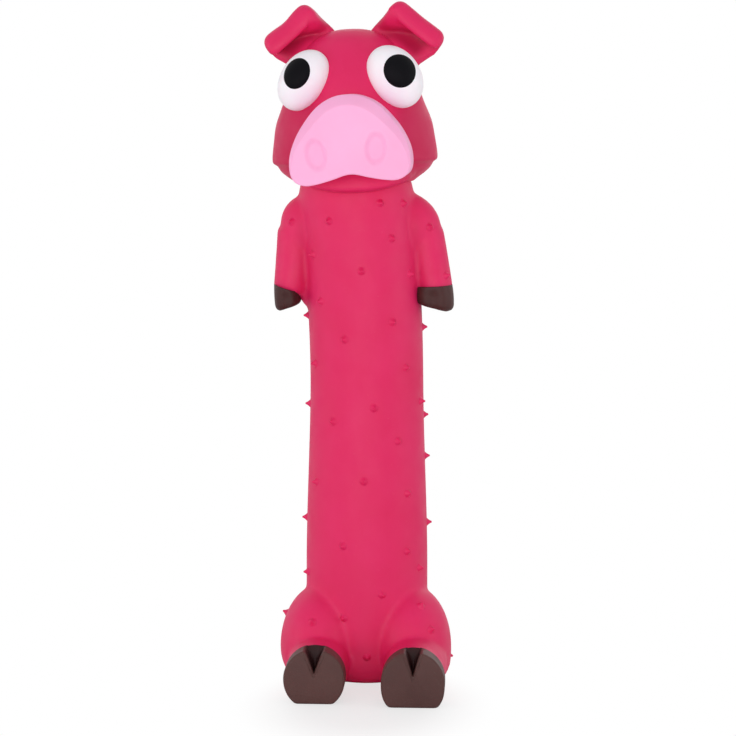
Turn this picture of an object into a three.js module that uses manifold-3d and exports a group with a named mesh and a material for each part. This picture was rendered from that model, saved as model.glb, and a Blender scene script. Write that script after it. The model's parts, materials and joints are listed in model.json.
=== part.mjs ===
// A squeaky dog toy: a seated pig with a long round body, moulded in latex and stuffed with fibre.
// Millimetres, +Z up. The toy faces -Y and its own left is +X. The origin is on the floor under the body.
import * as THREE from "three";
import { mergeVertices } from "three/addons/utils/BufferGeometryUtils.js";
import Module from "manifold-3d";

const wasm = await Module();
wasm.setup();

// Skin and fits
const SKIN_WALL = 2;
const CLEARANCE = 0.3; // between two pieces that meet

// Body: a tube that swells at the hips and ends in a ball at the neck
const NECK_HEIGHT = 200; // floor to the middle of the neck's ball
const HIP_HEIGHT = 45;
const WAIST_HEIGHT = 128;
const HIP_RADIUS = 25;
const WAIST_RADIUS = 23.1;
const NECK_RADIUS = 23.6;
const SEAT_ROUND = 7; // rounding of the seat's edge
const LEAN = 4.4; // how far the neck sits towards the toy's right
const LEAN_START = 120; // height where the lean begins
const NECK_MOUTH_RADIUS = 14; // opening between the hollow body and the hollow head

// Nubs: small soft thorns all over the body
const NUB_HEIGHT = 2;
const NUB_ROOT = 0.8; // depth that a nub reaches into the skin
const NUB_BASE_RADIUS = 1.6;
const NUB_TIP_RADIUS = 0.4;
const UPPER_NUBS = [ // distance below the neck's middle, then degrees from the front towards the toy's left
  [5, 27], [5, 55], [8, -29], [15, 36], [22, -52], [28, 2], [30, 54], [41, -46], [49, 33], [51, -84],
  [53, 92], [56, -19], [67, -62], [68, 47],
];
const LOWER_NUBS = [ // height above the floor, then degrees from the front towards the toy's left
  [116, 10], [116, 74], [115, -86], [110, 98], [110, -34], [102, 34], [93, 92], [86, 0], [84, -56], [80, 46],
  [67, -86], [65, 91], [59, -20], [56, 44], [47, 66], [45, -80], [39, 17], [29, -18], [13, 2],
];
const BACK_NUB_LIMIT = 50; // front nubs nearer to the middle than this are repeated behind
const BACK_NUB_DROP = 4;

// Arms: tapered rolls moulded along the body's sides, each ending in a cloven hoof
const SHOULDER_DROP = 10.5; // neck's middle down to the shoulder's middle
const SHOULDER_OUT = 19; // body's middle to the shoulder's middle
const SHOULDER_RADIUS = 13.3;
const ARM_RADIUS = 11.3; // half way down, where the arm swells
const ARM_LENGTH = 29.5; // shoulder's middle to the top of the hoof
const ARM_SPLAY = { left: 23.5, right: 17.5 }; // degrees
const ARM_SWING = 6; // degrees forward
const WRIST_RADIUS = 8;
const FRONT_HOOF_HEIGHT = 7.3; // wrist down to the level end of the hoof
const FRONT_HOOF_RADIUS = 8.6;
const FRONT_CLEFT_WIDTH = 2.4;
const FRONT_CLEFT_DEPTH = 4.5;
const ARM_NUBS = [[20, 70], [8, -40]]; // distance below the shoulder, then degrees outwards from the front

// Legs: haunches beside the seat and feet that point forward, with the soles of the hooves in front
const HAUNCH_OUT = 19;
const HAUNCH_FORWARD = 9;
const HAUNCH_HEIGHT = 14;
const HAUNCH_RADII = [16.7, 23, 25.5];
const FOOT_OUT = { left: 21, right: 18.6 };
const FOOT_ROOT_RADIUS = 15; // at the haunch
const FOOT_RADIUS = 11.5; // at the hoof
const HIND_HOOF_RADIUS = 12.7;
const HIND_HOOF_LENGTH = 11;
const HIND_HOOF_HEIGHT = 10.2; // floor to the sole's middle, which flattens the hoof below
const SOLE_REACH = { left: 57, right: 53 }; // body's middle forward to each sole
const HIND_CLEFT_WIDTH = 6.3;
const HIND_CLEFT_DEPTH = 9;
const HOOF_EDGE = 2; // rounding of the hooves' rims
const LEG_NUBS = [[80, 25], [55, 60], [20, 60]]; // degrees outwards from the front, then degrees up

// Head, measured from the neck's middle
const HEAD_OUTLINE = [ // half width, height
  [0, 2], [15, 2.6], [23.5, 5], [29.5, 10.5], [33.2, 18.5], [31.8, 32], [27.5, 46], [20.5, 60], [10.5, 67.8],
  [0, 69.5],
];
const HEAD_DEPTH_SHARE = 0.86; // depth against width
const HEAD_ROLL = -1.8; // degrees towards the toy's right
const HEAD_TURN = -1; // degrees towards the toy's right
const JAW_FORWARD = 18;
const JAW_HEIGHT = 13;
const JAW_RADII = [20, 15, 9.5];

// Snout
const SNOUT_OUTLINE = [ // half width, height above the neck's middle
  [0, 11.7], [9, 9.8], [17, 8], [22.5, 11.5], [24.4, 19], [21.2, 28.7], [13.7, 38.6], [6, 42.6],
];
const SNOUT_TOP = 43.6;
const SNOUT_REACH = 46; // neck's middle forward to the snout's face
const SNOUT_ROOT = 14; // where the snout begins inside the head
const SNOUT_EDGE = 5; // rounding of the snout's rim
const NOSTRIL_OUT = 11.5;
const NOSTRIL_HEIGHT = 21.6;
const NOSTRIL_RADII = [3.8, 1.8, 6.4];
const NOSTRIL_TILT = 8; // degrees

// Eyes
const EYE_OUT = 18.6;
const EYE_FORWARD = 16.5;
const EYE_HEIGHT = 49.4;
const EYE_RADII = [11.2, 10, 13];
const EYE_TILT = 19; // degrees, the lower end outwards
const PUPIL_OUT = 1.8; // eye's middle to the pupil's middle
const PUPIL_UP = 2.6;
const PUPIL_RADIUS = 6.1;
const PUPIL_DOME = 1.2; // how far a pupil stands proud

// Ears: a flap that rises from the crown and folds forward along its ridge
const EAR_OUT = 18.5;
const EAR_BACK = 2;
const EAR_HEIGHT = 61.7;
const EAR_SPLAY = 40; // degrees outwards
const EAR_THICKNESS = 3.6;
const EAR_ROOT_INNER = 13; // lengths along the ear, from its middle
const EAR_ROOT_OUTER = 11;
const EAR_RIDGE_INNER = 12;
const EAR_RIDGE_OUTER = 13.5;
const EAR_FLAP_INNER = 4;
const EAR_FLAP_OUTER = 9.5;
const EAR_RISE = 15.5; // root to ridge
const EAR_FLAP = 9.5; // ridge to the flap's free edge
const EAR_CORNER = 4; // rounding of the outline's corners
const EAR_EDGE = 1; // rounding of the edges
const EAR_FLAP_ANGLE = 32; // degrees that the flap stands away from the ear behind it
const EAR_SWING = [-15, 25]; // degrees that the ear flops back and forward

// Base plug: closes the hole that the toy is stuffed through
const PLUG_RADIUS = 10;
const PLUG_FLANGE = 4; // how far the plug spreads inside the skin
const PLUG_FLANGE_THICKNESS = 1.6;
const PLUG_VENT_RADIUS = 1.2;
const PLUG_VENT_BACK = 5; // plug's middle to the vent

// Squeaker: a bellows capsule with a reed in its nozzle, lying front to back in the filling
const SQUEAKER_HEIGHT = 105;
const BULB_FRONT = 15; // body's middle forward to the bulb's crown
const BULB_RADIUS = 12;
const BULB_WALL = 0.9;
const BULB_CROWN = 4; // depth of the rounded crown
const BULB_FOLDS = 3;
const BULB_FOLD_PITCH = 4.4;
const BULB_FOLD_DEPTH = 1.6;
const BULB_NECK = 3; // length of the collar round the nozzle
const NOZZLE_RADIUS = 5.2;
const NOZZLE_WALL = 1;
const NOZZLE_FLANGE_RADIUS = 8;
const NOZZLE_FLANGE_THICKNESS = 1.4;
const NOZZLE_INSIDE = 5; // length inside the bulb
const NOZZLE_OUTSIDE = 5; // length behind the flange
const REED_WIDTH = 4.4;
const REED_THICKNESS = 0.3;
const REED_LENGTH = 9.5;
const SHOE_LENGTH = 10.5;
const WEDGE_LENGTH = 4;

// Finishes
const RED_LATEX = { color: 0xe23c67, roughness: 0.55, metalness: 0 };
const PINK_LATEX = { color: 0xffbbe2, roughness: 0.55, metalness: 0 };
const BROWN_LATEX = { color: 0x5f433e, roughness: 0.5, metalness: 0 };
const WHITE_LATEX = { color: 0xf9f4fb, roughness: 0.4, metalness: 0 };
const BLACK_LATEX = { color: 0x16151a, roughness: 0.45, metalness: 0 };
const FIBRE = { color: 0xf2f0ec, roughness: 1, metalness: 0 };
const WHITE_PLASTIC = { color: 0xf0f0ee, roughness: 0.4, metalness: 0 };
const CLEAR_FILM = { color: 0xd8dde0, roughness: 0.3, metalness: 0 };

// Facets round the turned shapes
const BODY_FACETS = 36;
const HEAD_FACETS = 32;
const LIMB_FACETS = 22;
const INNER_FACETS = 20;
const SMALL_FACETS = 16;
const NUB_FACETS = 5;

// Steps along the profiles
const BODY_STEPS = 9;
const NECK_STEPS = 5;
const LIMB_STEPS = 4;
const BULB_STEPS = 3;
const EDGE_STEPS = 2;

const BEYOND = 400; // longer than the toy, for cutting a whole side away
const SIDES = { left: 1, right: -1 };
const { degToRad, lerp, smoothstep } = THREE.MathUtils;

// A closed geometry as a solid that can be joined and cut.
function solid(geometry) {
  const bare = new THREE.BufferGeometry();
  bare.setAttribute("position", geometry.getAttribute("position").clone());
  bare.setIndex(geometry.index);
  const merged = mergeVertices(bare, 1e-4);
  const corners = merged.index.array;
  const triangles = [];
  for (let i = 0; i < corners.length; i += 3) {
    const [a, b, c] = corners.slice(i, i + 3);
    if (a !== b && b !== c && c !== a) triangles.push(a, b, c);
  }
  const vertProperties = merged.getAttribute("position").array;
  const triVerts = new Uint32Array(triangles);
  return new wasm.Manifold(new wasm.Mesh({ numProp: 3, vertProperties, triVerts }));
}

// Adds a named mesh of a solid to a group.
function addPiece(parent, name, body, finish) {
  const made = body.getMesh();
  const geometry = new THREE.BufferGeometry();
  geometry.setAttribute("position", new THREE.BufferAttribute(made.vertProperties, 3));
  geometry.setIndex(new THREE.BufferAttribute(made.triVerts, 1));
  geometry.computeVertexNormals();
  const mesh = new THREE.Mesh(geometry, new THREE.MeshStandardMaterial(finish));
  mesh.name = name;
  parent.add(mesh);
}

// A profile of [radius, height] points turned about the Z axis.
function turned(profile, facets) {
  const points = profile.map(([radius, height]) => new THREE.Vector2(radius, height));
  return new THREE.LatheGeometry(points, facets).rotateX(Math.PI / 2);
}

// Points of [radius, height] along an arc, in degrees from the radius towards the height.
function arc(radius, height, size, from, to, steps) {
  return Array.from({ length: steps + 1 }, (_, i) => {
    const angle = degToRad(lerp(from, to, i / steps));
    return [radius + size * Math.cos(angle), height + size * Math.sin(angle)];
  });
}

function ellipsoid(radii, grow, facets) {
  const [x, y, z] = radii.map((radius) => radius + grow);
  return new THREE.SphereGeometry(1, facets, facets / 2).rotateX(Math.PI / 2).scale(x, y, z);
}

// A flat outline of [x, z] points with rounded corners, made thick along Y about y = 0, with rounded edges.
function slab(outline, corner, thickness, edge) {
  const points = outline.map(([x, z]) => new THREE.Vector2(x, z));
  const shape = new THREE.Shape();
  points.forEach((point, i) => {
    const neighbours = [points.at(i - 1), points[(i + 1) % points.length]];
    const [start, end] = neighbours.map((next) => next.clone().sub(point).setLength(corner).add(point));
    if (i === 0) shape.moveTo(start.x, start.y);
    else shape.lineTo(start.x, start.y);
    shape.quadraticCurveTo(point.x, point.y, end.x, end.y);
  });
  const depth = thickness - 2 * edge;
  const bevel = { bevelThickness: edge, bevelSize: edge, bevelOffset: -edge, bevelSegments: EDGE_STEPS };
  const geometry = new THREE.ExtrudeGeometry(shape, { depth, curveSegments: EDGE_STEPS + 1, ...bevel });
  return geometry.translate(0, 0, -depth / 2).rotateX(Math.PI / 2);
}

// A V-shaped cut that runs along Y, as wide as given at z = 0 and as deep as given below it.
function cleft(width, depth) {
  const shape = new THREE.Shape();
  shape.moveTo(0, -depth);
  shape.lineTo(width, depth);
  shape.lineTo(-width, depth);
  const geometry = new THREE.ExtrudeGeometry(shape, { depth: BEYOND, bevelEnabled: false });
  return geometry.translate(0, 0, -BEYOND / 2).rotateX(Math.PI / 2);
}

// A thorn that stands on a point of the skin along its normal.
function nub(point, normal) {
  const height = NUB_HEIGHT + NUB_ROOT;
  const geometry = new THREE.CylinderGeometry(NUB_TIP_RADIUS, NUB_BASE_RADIUS, height, NUB_FACETS);
  geometry.translate(0, height / 2 - NUB_ROOT, 0);
  geometry.applyQuaternion(new THREE.Quaternion().setFromUnitVectors(new THREE.Vector3(0, 1, 0), normal));
  return solid(geometry.translate(point.x, point.y, point.z));
}

// A block that covers everything on one side of a plane.
function farBlock(x, y, z) {
  return new THREE.BoxGeometry(BEYOND, BEYOND, BEYOND).translate(x, y, z);
}

// The body's shift towards the toy's right at a height.
function leanAt(height) {
  const share = Math.min(Math.max((height - LEAN_START) / (NECK_HEIGHT - LEAN_START), 0), 1);
  return -LEAN * share * share;
}

// The body's radius at a height: it narrows to the waist and widens to the neck.
function bodyRadius(height) {
  const toWaist = lerp(HIP_RADIUS, WAIST_RADIUS, smoothstep(height, HIP_HEIGHT, WAIST_HEIGHT));
  const toNeck = lerp(WAIST_RADIUS, NECK_RADIUS, smoothstep(height, WAIST_HEIGHT, NECK_HEIGHT));
  return height < WAIST_HEIGHT ? toWaist : toNeck;
}

// The body as a leaning solid, its surface moved in by inset.
function bodyForm(inset, facets) {
  const seat = arc(HIP_RADIUS - SEAT_ROUND, SEAT_ROUND, SEAT_ROUND - inset, -90, 0, EDGE_STEPS);
  const profile = [[0, inset], ...seat];
  for (let i = 1; i < BODY_STEPS; i += 1) {
    const height = lerp(SEAT_ROUND, NECK_HEIGHT, i / BODY_STEPS);
    profile.push([bodyRadius(height) - inset, height]);
  }
  profile.push(...arc(0, NECK_HEIGHT, NECK_RADIUS - inset, 0, 90, NECK_STEPS));
  const geometry = turned(profile, facets);
  const position = geometry.getAttribute("position");
  for (let i = 0; i < position.count; i += 1) {
    position.setX(i, position.getX(i) + leanAt(position.getZ(i)));
  }
  return solid(geometry);
}

const bodyRoom = bodyForm(-CLEARANCE, BODY_FACETS); // the body and its gap, cut from the limbs

function bodyNub(height, degrees) {
  const angle = degToRad(degrees);
  const normal = new THREE.Vector3(Math.sin(angle), -Math.cos(angle), 0);
  const point = normal.clone().multiplyScalar(bodyRadius(height));
  return nub(point.add(new THREE.Vector3(leanAt(height), 0, height)), normal);
}

// The hollow body, open at the neck and at the hole in its seat.
function torsoSkin() {
  const hole = new THREE.CylinderGeometry(PLUG_RADIUS, PLUG_RADIUS, 4 * SKIN_WALL, SMALL_FACETS);
  const mouthLength = 2 * NECK_RADIUS;
  const mouth = new THREE.CylinderGeometry(NECK_MOUTH_RADIUS, NECK_MOUTH_RADIUS, mouthLength, SMALL_FACETS);
  mouth.rotateX(Math.PI / 2).translate(leanAt(NECK_HEIGHT), 0, NECK_HEIGHT + mouthLength / 2);
  const frontNubs = [...UPPER_NUBS.map(([drop, degrees]) => [NECK_HEIGHT - drop, degrees]), ...LOWER_NUBS];
  const backNubs = frontNubs.filter(([, degrees]) => Math.abs(degrees) < BACK_NUB_LIMIT);
  const nubs = [
    ...frontNubs.map(([height, degrees]) => bodyNub(height, degrees)),
    ...backNubs.map(([height, degrees]) => bodyNub(height - BACK_NUB_DROP, 180 + degrees)),
  ];
  const skin = nubs.reduce((whole, thorn) => whole.add(thorn), bodyForm(0, BODY_FACETS));
  const inside = bodyForm(SKIN_WALL, INNER_FACETS).add(solid(hole.rotateX(Math.PI / 2))).add(solid(mouth));
  return skin.subtract(inside);
}

// One arm and its hoof, built hanging down from the shoulder's middle and then set against the body.
function arm(name) {
  const side = SIDES[name];
  const shoulder = new THREE.Object3D();
  const height = NECK_HEIGHT - SHOULDER_DROP;
  shoulder.position.set(leanAt(height) + side * SHOULDER_OUT, 0, height);
  shoulder.rotation.set(degToRad(-ARM_SWING), degToRad(-side * ARM_SPLAY[name]), 0);
  shoulder.updateMatrix();
  const placed = (geometry) => solid(geometry.applyMatrix4(shoulder.matrix));

  const swell = new THREE.QuadraticBezierCurve(
    new THREE.Vector2(WRIST_RADIUS, -ARM_LENGTH),
    new THREE.Vector2(2 * ARM_RADIUS - (WRIST_RADIUS + SHOULDER_RADIUS) / 2, -ARM_LENGTH / 2),
    new THREE.Vector2(SHOULDER_RADIUS, 0),
  );
  const roll = swell.getPoints(LIMB_STEPS).map((point) => point.toArray());
  const cap = arc(0, 0, SHOULDER_RADIUS, 0, 90, LIMB_STEPS).slice(1);
  let skin = placed(turned([[0, -ARM_LENGTH], ...roll, ...cap], LIMB_FACETS));
  for (const [drop, degrees] of ARM_NUBS) {
    const angle = degToRad(degrees);
    const normal = new THREE.Vector3(side * Math.sin(angle), -Math.cos(angle), 0);
    const point = normal.clone().multiplyScalar(swell.getPoint(1 - drop / ARM_LENGTH).x).setZ(-drop);
    skin = skin.add(nub(point.applyMatrix4(shoulder.matrix), normal.transformDirection(shoulder.matrix)));
  }

  const sole = new THREE.Vector3(0, 0, -ARM_LENGTH).applyMatrix4(shoulder.matrix);
  sole.z -= FRONT_HOOF_HEIGHT;
  const rim = arc(FRONT_HOOF_RADIUS - HOOF_EDGE, HOOF_EDGE, HOOF_EDGE, -90, 0, EDGE_STEPS);
  const top = FRONT_HOOF_HEIGHT + FRONT_HOOF_RADIUS;
  const profile = [[0, 0], ...rim, [WRIST_RADIUS, FRONT_HOOF_HEIGHT], [WRIST_RADIUS, top], [0, top]];
  const block = turned(profile, LIMB_FACETS).translate(...sole);
  const split = cleft(FRONT_CLEFT_WIDTH / 2, FRONT_CLEFT_DEPTH).rotateX(Math.PI).translate(...sole);
  const above = farBlock(0, 0, BEYOND / 2 - ARM_LENGTH - CLEARANCE);
  const hoof = solid(block).subtract(solid(split)).subtract(placed(above));
  return { skin: skin.subtract(bodyRoom), hoof: hoof.subtract(bodyRoom) };
}

// One leg and its hoof, resting on the floor.
function leg(name) {
  const side = SIDES[name];
  const hoofBack = HIND_HOOF_LENGTH - SOLE_REACH[name];
  const haunchMiddle = new THREE.Vector3(side * HAUNCH_OUT, -HAUNCH_FORWARD, HAUNCH_HEIGHT);
  const haunch = ellipsoid(HAUNCH_RADII, 0, LIMB_FACETS).translate(...haunchMiddle);
  const footEnd = hoofBack + CLEARANCE;
  const footLength = -HAUNCH_FORWARD - footEnd;
  const foot = new THREE.CylinderGeometry(FOOT_ROOT_RADIUS, FOOT_RADIUS, footLength, LIMB_FACETS);
  foot.translate(side * FOOT_OUT[name], footEnd + footLength / 2, HIND_HOOF_HEIGHT);
  let skin = solid(haunch).add(solid(foot));
  const radii = new THREE.Vector3(...HAUNCH_RADII);
  for (const [outward, upward] of LEG_NUBS) {
    const around = degToRad(outward);
    const rise = degToRad(upward);
    const unit = new THREE.Vector3(side * Math.sin(around), -Math.cos(around), 0);
    unit.multiplyScalar(Math.cos(rise)).setZ(Math.sin(rise));
    const point = unit.clone().multiply(radii).add(haunchMiddle);
    skin = skin.add(nub(point, unit.clone().divide(radii).normalize()));
  }
  const underFloor = farBlock(0, 0, -BEYOND / 2);
  const otherSide = farBlock((side * (CLEARANCE - BEYOND)) / 2, 0, 0);
  const room = bodyRoom.add(solid(underFloor)).add(solid(otherSide));

  const rim = arc(HIND_HOOF_RADIUS - HOOF_EDGE, HIND_HOOF_LENGTH - HOOF_EDGE, HOOF_EDGE, 0, 90, EDGE_STEPS);
  const profile = [[0, 0], [FOOT_RADIUS, 0], [HIND_HOOF_RADIUS, HOOF_EDGE], ...rim, [0, HIND_HOOF_LENGTH]];
  const block = turned(profile, LIMB_FACETS).rotateX(Math.PI / 2);
  const split = cleft(HIND_CLEFT_WIDTH / 2, HIND_CLEFT_DEPTH).translate(0, 0, HIND_HOOF_RADIUS);
  const place = [side * FOOT_OUT[name], hoofBack, HIND_HOOF_HEIGHT];
  const hoof = solid(block.translate(...place)).subtract(solid(split.translate(...place)));
  return { skin: skin.subtract(room), hoof: hoof.subtract(room) };
}

// The head as a filled solid without its jaw, its surface moved out by grow.
function skullForm(grow, facets) {
  const outline = HEAD_OUTLINE.map(([radius, height]) => new THREE.Vector2(radius, height));
  const points = new THREE.SplineCurve(outline).getPoints(facets / 2);
  const profile = points.map((point) => [Math.max(point.x, 0), point.y]);
  const middle = (HEAD_OUTLINE[0][1] + HEAD_OUTLINE.at(-1)[1]) / 2;
  const widest = Math.max(...profile.map(([radius]) => radius));
  const scale = (widest + grow) / widest;
  const geometry = turned(profile, facets).translate(0, 0, -middle);
  geometry.scale(scale, scale * HEAD_DEPTH_SHARE, scale);
  return solid(geometry.translate(0, 0, middle));
}

function headForm(grow) {
  const jaw = ellipsoid(JAW_RADII, grow, LIMB_FACETS).translate(0, -JAW_FORWARD, JAW_HEIGHT);
  return skullForm(grow, HEAD_FACETS).add(solid(jaw));
}

// The ball of the neck with its running gap, cut from the head's pieces, and the head with its own gap.
const neckRadii = Array(3).fill(NECK_RADIUS);
const neckBall = solid(ellipsoid(neckRadii, CLEARANCE, HEAD_FACETS));
const headRoom = headForm(CLEARANCE);

// The place of an ear on the head, turned about its root by a swing in degrees.
function earPlace(side, swing) {
  const place = new THREE.Object3D();
  place.position.set(side * EAR_OUT, EAR_BACK, EAR_HEIGHT);
  place.rotation.order = "YXZ";
  place.rotation.set(degToRad(swing), degToRad(side * EAR_SPLAY), 0);
  place.updateMatrix();
  return place.matrix;
}

// An ear about its root: the sheet behind, and the flap that folds forward from the ridge.
function earForm(side, grow) {
  const thickness = EAR_THICKNESS + 2 * grow;
  const behind = [
    [-side * (EAR_ROOT_INNER + grow), -thickness / 2], [side * (EAR_ROOT_OUTER + grow), -thickness / 2],
    [side * EAR_RIDGE_OUTER, EAR_RISE], [-side * EAR_RIDGE_INNER, EAR_RISE],
  ];
  const flap = [
    [-side * EAR_FLAP_INNER, -EAR_FLAP], [side * EAR_FLAP_OUTER, -EAR_FLAP],
    [side * EAR_RIDGE_OUTER, thickness / 2], [-side * EAR_RIDGE_INNER, thickness / 2],
  ];
  const sheet = slab(behind, EAR_CORNER, thickness, EAR_EDGE);
  const folded = slab(flap, EAR_CORNER, thickness, EAR_EDGE).translate(0, 0, -thickness / 2);
  folded.rotateX(degToRad(-EAR_FLAP_ANGLE)).translate(0, 0, EAR_RISE - thickness / 2);
  return solid(sheet).add(solid(folded));
}

// An ear ends where it meets the head.
function ear(side) {
  const toRoot = earPlace(side, 0).invert();
  return earForm(side, 0).subtract(skullForm(CLEARANCE, HEAD_FACETS).transform(toRoot.elements));
}

// The hollow head: open over the neck's ball, with a groove for each ear to rock in.
function headSkin() {
  let skin = headForm(0).subtract(skullForm(-SKIN_WALL, INNER_FACETS)).subtract(neckBall);
  for (const side of Object.values(SIDES)) {
    const toRoot = earPlace(side, 0).invert();
    const rocker = earForm(side, CLEARANCE).subtract(skullForm(0, HEAD_FACETS).transform(toRoot.elements));
    for (const swing of EAR_SWING) {
      skin = skin.subtract(rocker.transform(earPlace(side, swing).elements));
    }
  }
  return skin;
}

// The snout as a solid that begins inside the head, its surface moved out by grow.
function snoutForm(grow) {
  const half = SNOUT_OUTLINE.map(([x, z]) => new THREE.Vector2(x, z));
  const mirrored = SNOUT_OUTLINE.slice(1).map(([x, z]) => new THREE.Vector2(-x, z));
  const ring = [...half, new THREE.Vector2(0, SNOUT_TOP), ...mirrored.reverse()];
  const curve = new THREE.SplineCurve([...ring, ring[0]]);
  const depth = SNOUT_REACH - SNOUT_ROOT - 2 * SNOUT_EDGE;
  const bevel = { bevelThickness: SNOUT_EDGE + grow, bevelSize: SNOUT_EDGE, bevelOffset: grow - SNOUT_EDGE };
  const shape = new THREE.Shape(curve.getPoints(2 * SMALL_FACETS).slice(0, -1));
  const geometry = new THREE.ExtrudeGeometry(shape, { depth, bevelSegments: EDGE_STEPS, ...bevel });
  return solid(geometry.translate(0, 0, SNOUT_ROOT + SNOUT_EDGE).rotateX(Math.PI / 2));
}

function snout() {
  let body = snoutForm(0).subtract(headRoom);
  for (const side of Object.values(SIDES)) {
    const nostril = ellipsoid(NOSTRIL_RADII, 0, SMALL_FACETS).rotateY(degToRad(side * NOSTRIL_TILT));
    body = body.subtract(solid(nostril.translate(side * NOSTRIL_OUT, -SNOUT_REACH, NOSTRIL_HEIGHT)));
  }
  return body;
}

function eyeForm(side, grow) {
  const geometry = ellipsoid(EYE_RADII, grow, LIMB_FACETS).rotateY(degToRad(-side * EYE_TILT));
  return solid(geometry.translate(side * EYE_OUT, -EYE_FORWARD, EYE_HEIGHT));
}

function eye(side) {
  return eyeForm(side, 0).subtract(headRoom).subtract(snoutForm(CLEARANCE));
}

// A pupil: a shallow dome over the eye where a line straight ahead meets it.
function pupil(side) {
  const cover = eyeForm(side, CLEARANCE + PUPIL_DOME);
  const bar = new THREE.CylinderGeometry(PUPIL_RADIUS, PUPIL_RADIUS, 2 * EYE_RADII[1], SMALL_FACETS);
  bar.translate(side * (EYE_OUT + PUPIL_OUT), -EYE_FORWARD - EYE_RADII[1], EYE_HEIGHT + PUPIL_UP);
  return solid(bar).intersect(cover).subtract(eyeForm(side, CLEARANCE));
}

// Stuffing of the head, shaped over the neck's ball.
function headFilling() {
  return skullForm(-SKIN_WALL - CLEARANCE, INNER_FACETS).subtract(neckBall);
}

// The plug's flange sits on the skin inside, and its stem fills the hole level with the seat.
function basePlug() {
  const stem = PLUG_RADIUS - CLEARANCE;
  const flange = PLUG_RADIUS + PLUG_FLANGE;
  const seat = SKIN_WALL + CLEARANCE;
  const top = seat + PLUG_FLANGE_THICKNESS;
  const profile = [[0, 0], [stem, 0], [stem, seat], [flange, seat], [flange, top], [0, top]];
  const vent = new THREE.CylinderGeometry(PLUG_VENT_RADIUS, PLUG_VENT_RADIUS, 4 * top, SMALL_FACETS / 2);
  vent.rotateX(Math.PI / 2).translate(0, PLUG_VENT_BACK, 0);
  return solid(turned(profile, SMALL_FACETS)).subtract(solid(vent));
}

// The squeaker's frame: its axis along +Y, with the bulb's crown at the front.
const squeaker = new THREE.Group();
squeaker.position.set(leanAt(SQUEAKER_HEIGHT), -BULB_FRONT, SQUEAKER_HEIGHT);
squeaker.rotation.set(-Math.PI / 2, 0, 0);
squeaker.updateMatrix();

const MOUTH_RADIUS = NOZZLE_RADIUS + CLEARANCE; // the bulb's collar round the nozzle
const BULB_BODY = BULB_CROWN + BULB_FOLDS * BULB_FOLD_PITCH; // crown to the last fold
const BULB_LENGTH = BULB_BODY + BULB_CROWN + BULB_NECK;

// The bulb's rounded crown and its shoulder round the collar, moved in by inset.
const crownRadius = BULB_RADIUS - BULB_CROWN;
const bulbCrown = (inset) => arc(crownRadius, BULB_CROWN, BULB_CROWN - inset, -90, 0, BULB_STEPS);
const bulbShoulder = (inset) => arc(crownRadius, BULB_BODY, BULB_CROWN - inset, 0, 90, BULB_STEPS);

// The bulb's outline from its crown to its collar, moved in by inset.
function bulbOutline(inset) {
  const folds = Array.from({ length: 2 * BULB_FOLDS - 1 }, (_, i) => {
    const dip = i % 2 === 0 ? BULB_FOLD_DEPTH : 0;
    return [BULB_RADIUS - inset - dip, BULB_CROWN + ((i + 1) * BULB_FOLD_PITCH) / 2];
  });
  return [[0, inset], ...bulbCrown(inset), ...folds, ...bulbShoulder(inset)];
}

function squeakerBulb() {
  const collar = MOUTH_RADIUS + BULB_WALL;
  const outside = [...bulbOutline(0), [collar, BULB_BODY + BULB_CROWN], [collar, BULB_LENGTH]];
  const inside = [...bulbOutline(BULB_WALL), [MOUTH_RADIUS, BULB_BODY + BULB_CROWN - BULB_WALL]];
  return solid(turned([...outside, [MOUTH_RADIUS, BULB_LENGTH], ...inside.reverse()], SMALL_FACETS));
}

const NOZZLE_BORE = NOZZLE_RADIUS - NOZZLE_WALL;
const FLANGE_FRONT = BULB_LENGTH + CLEARANCE;
const FLANGE_BACK = FLANGE_FRONT + NOZZLE_FLANGE_THICKNESS;
const NOZZLE_BACK = FLANGE_BACK + NOZZLE_OUTSIDE;
const REED_BACK = NOZZLE_BACK - 2 * CLEARANCE;

function squeakerNozzle() {
  const front = BULB_LENGTH - NOZZLE_INSIDE;
  const profile = [
    [NOZZLE_BORE, front], [NOZZLE_RADIUS, front], [NOZZLE_RADIUS, FLANGE_FRONT],
    [NOZZLE_FLANGE_RADIUS, FLANGE_FRONT], [NOZZLE_FLANGE_RADIUS, FLANGE_BACK], [NOZZLE_RADIUS, FLANGE_BACK],
    [NOZZLE_RADIUS, NOZZLE_BACK], [NOZZLE_BORE, NOZZLE_BACK],
  ];
  return solid(turned([...profile, profile[0]], SMALL_FACETS));
}

// A half round that lies in the nozzle's bore on one side of the reed and ends at the reed's root.
function halfRound(side, length) {
  const radius = NOZZLE_BORE - CLEARANCE;
  const flat = REED_THICKNESS / 2 + CLEARANCE;
  const angle = Math.asin(flat / radius);
  const shape = new THREE.Shape();
  shape.absarc(0, 0, radius, angle, Math.PI - angle);
  const flatEnds = { bevelEnabled: false, curveSegments: SMALL_FACETS };
  const geometry = new THREE.ExtrudeGeometry(shape, { depth: length, ...flatEnds });
  return solid(geometry.rotateZ(side > 0 ? 0 : Math.PI).translate(0, 0, REED_BACK - length));
}

function squeakerReed() {
  const strip = new THREE.BoxGeometry(REED_WIDTH, REED_THICKNESS, REED_LENGTH);
  return solid(strip.translate(0, 0, REED_BACK - REED_LENGTH / 2));
}

// The room that the squeaker takes in the filling.
function squeakerRoom() {
  const shoulder = bulbShoulder(-CLEARANCE);
  const tail = NOZZLE_FLANGE_RADIUS + CLEARANCE;
  const end = NOZZLE_BACK + CLEARANCE;
  const bulb = [[0, -CLEARANCE], ...bulbCrown(-CLEARANCE), ...shoulder];
  const profile = [...bulb, [tail, shoulder.at(-1)[1]], [tail, end], [0, end]];
  return solid(turned(profile, SMALL_FACETS).applyMatrix4(squeaker.matrix));
}

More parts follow.
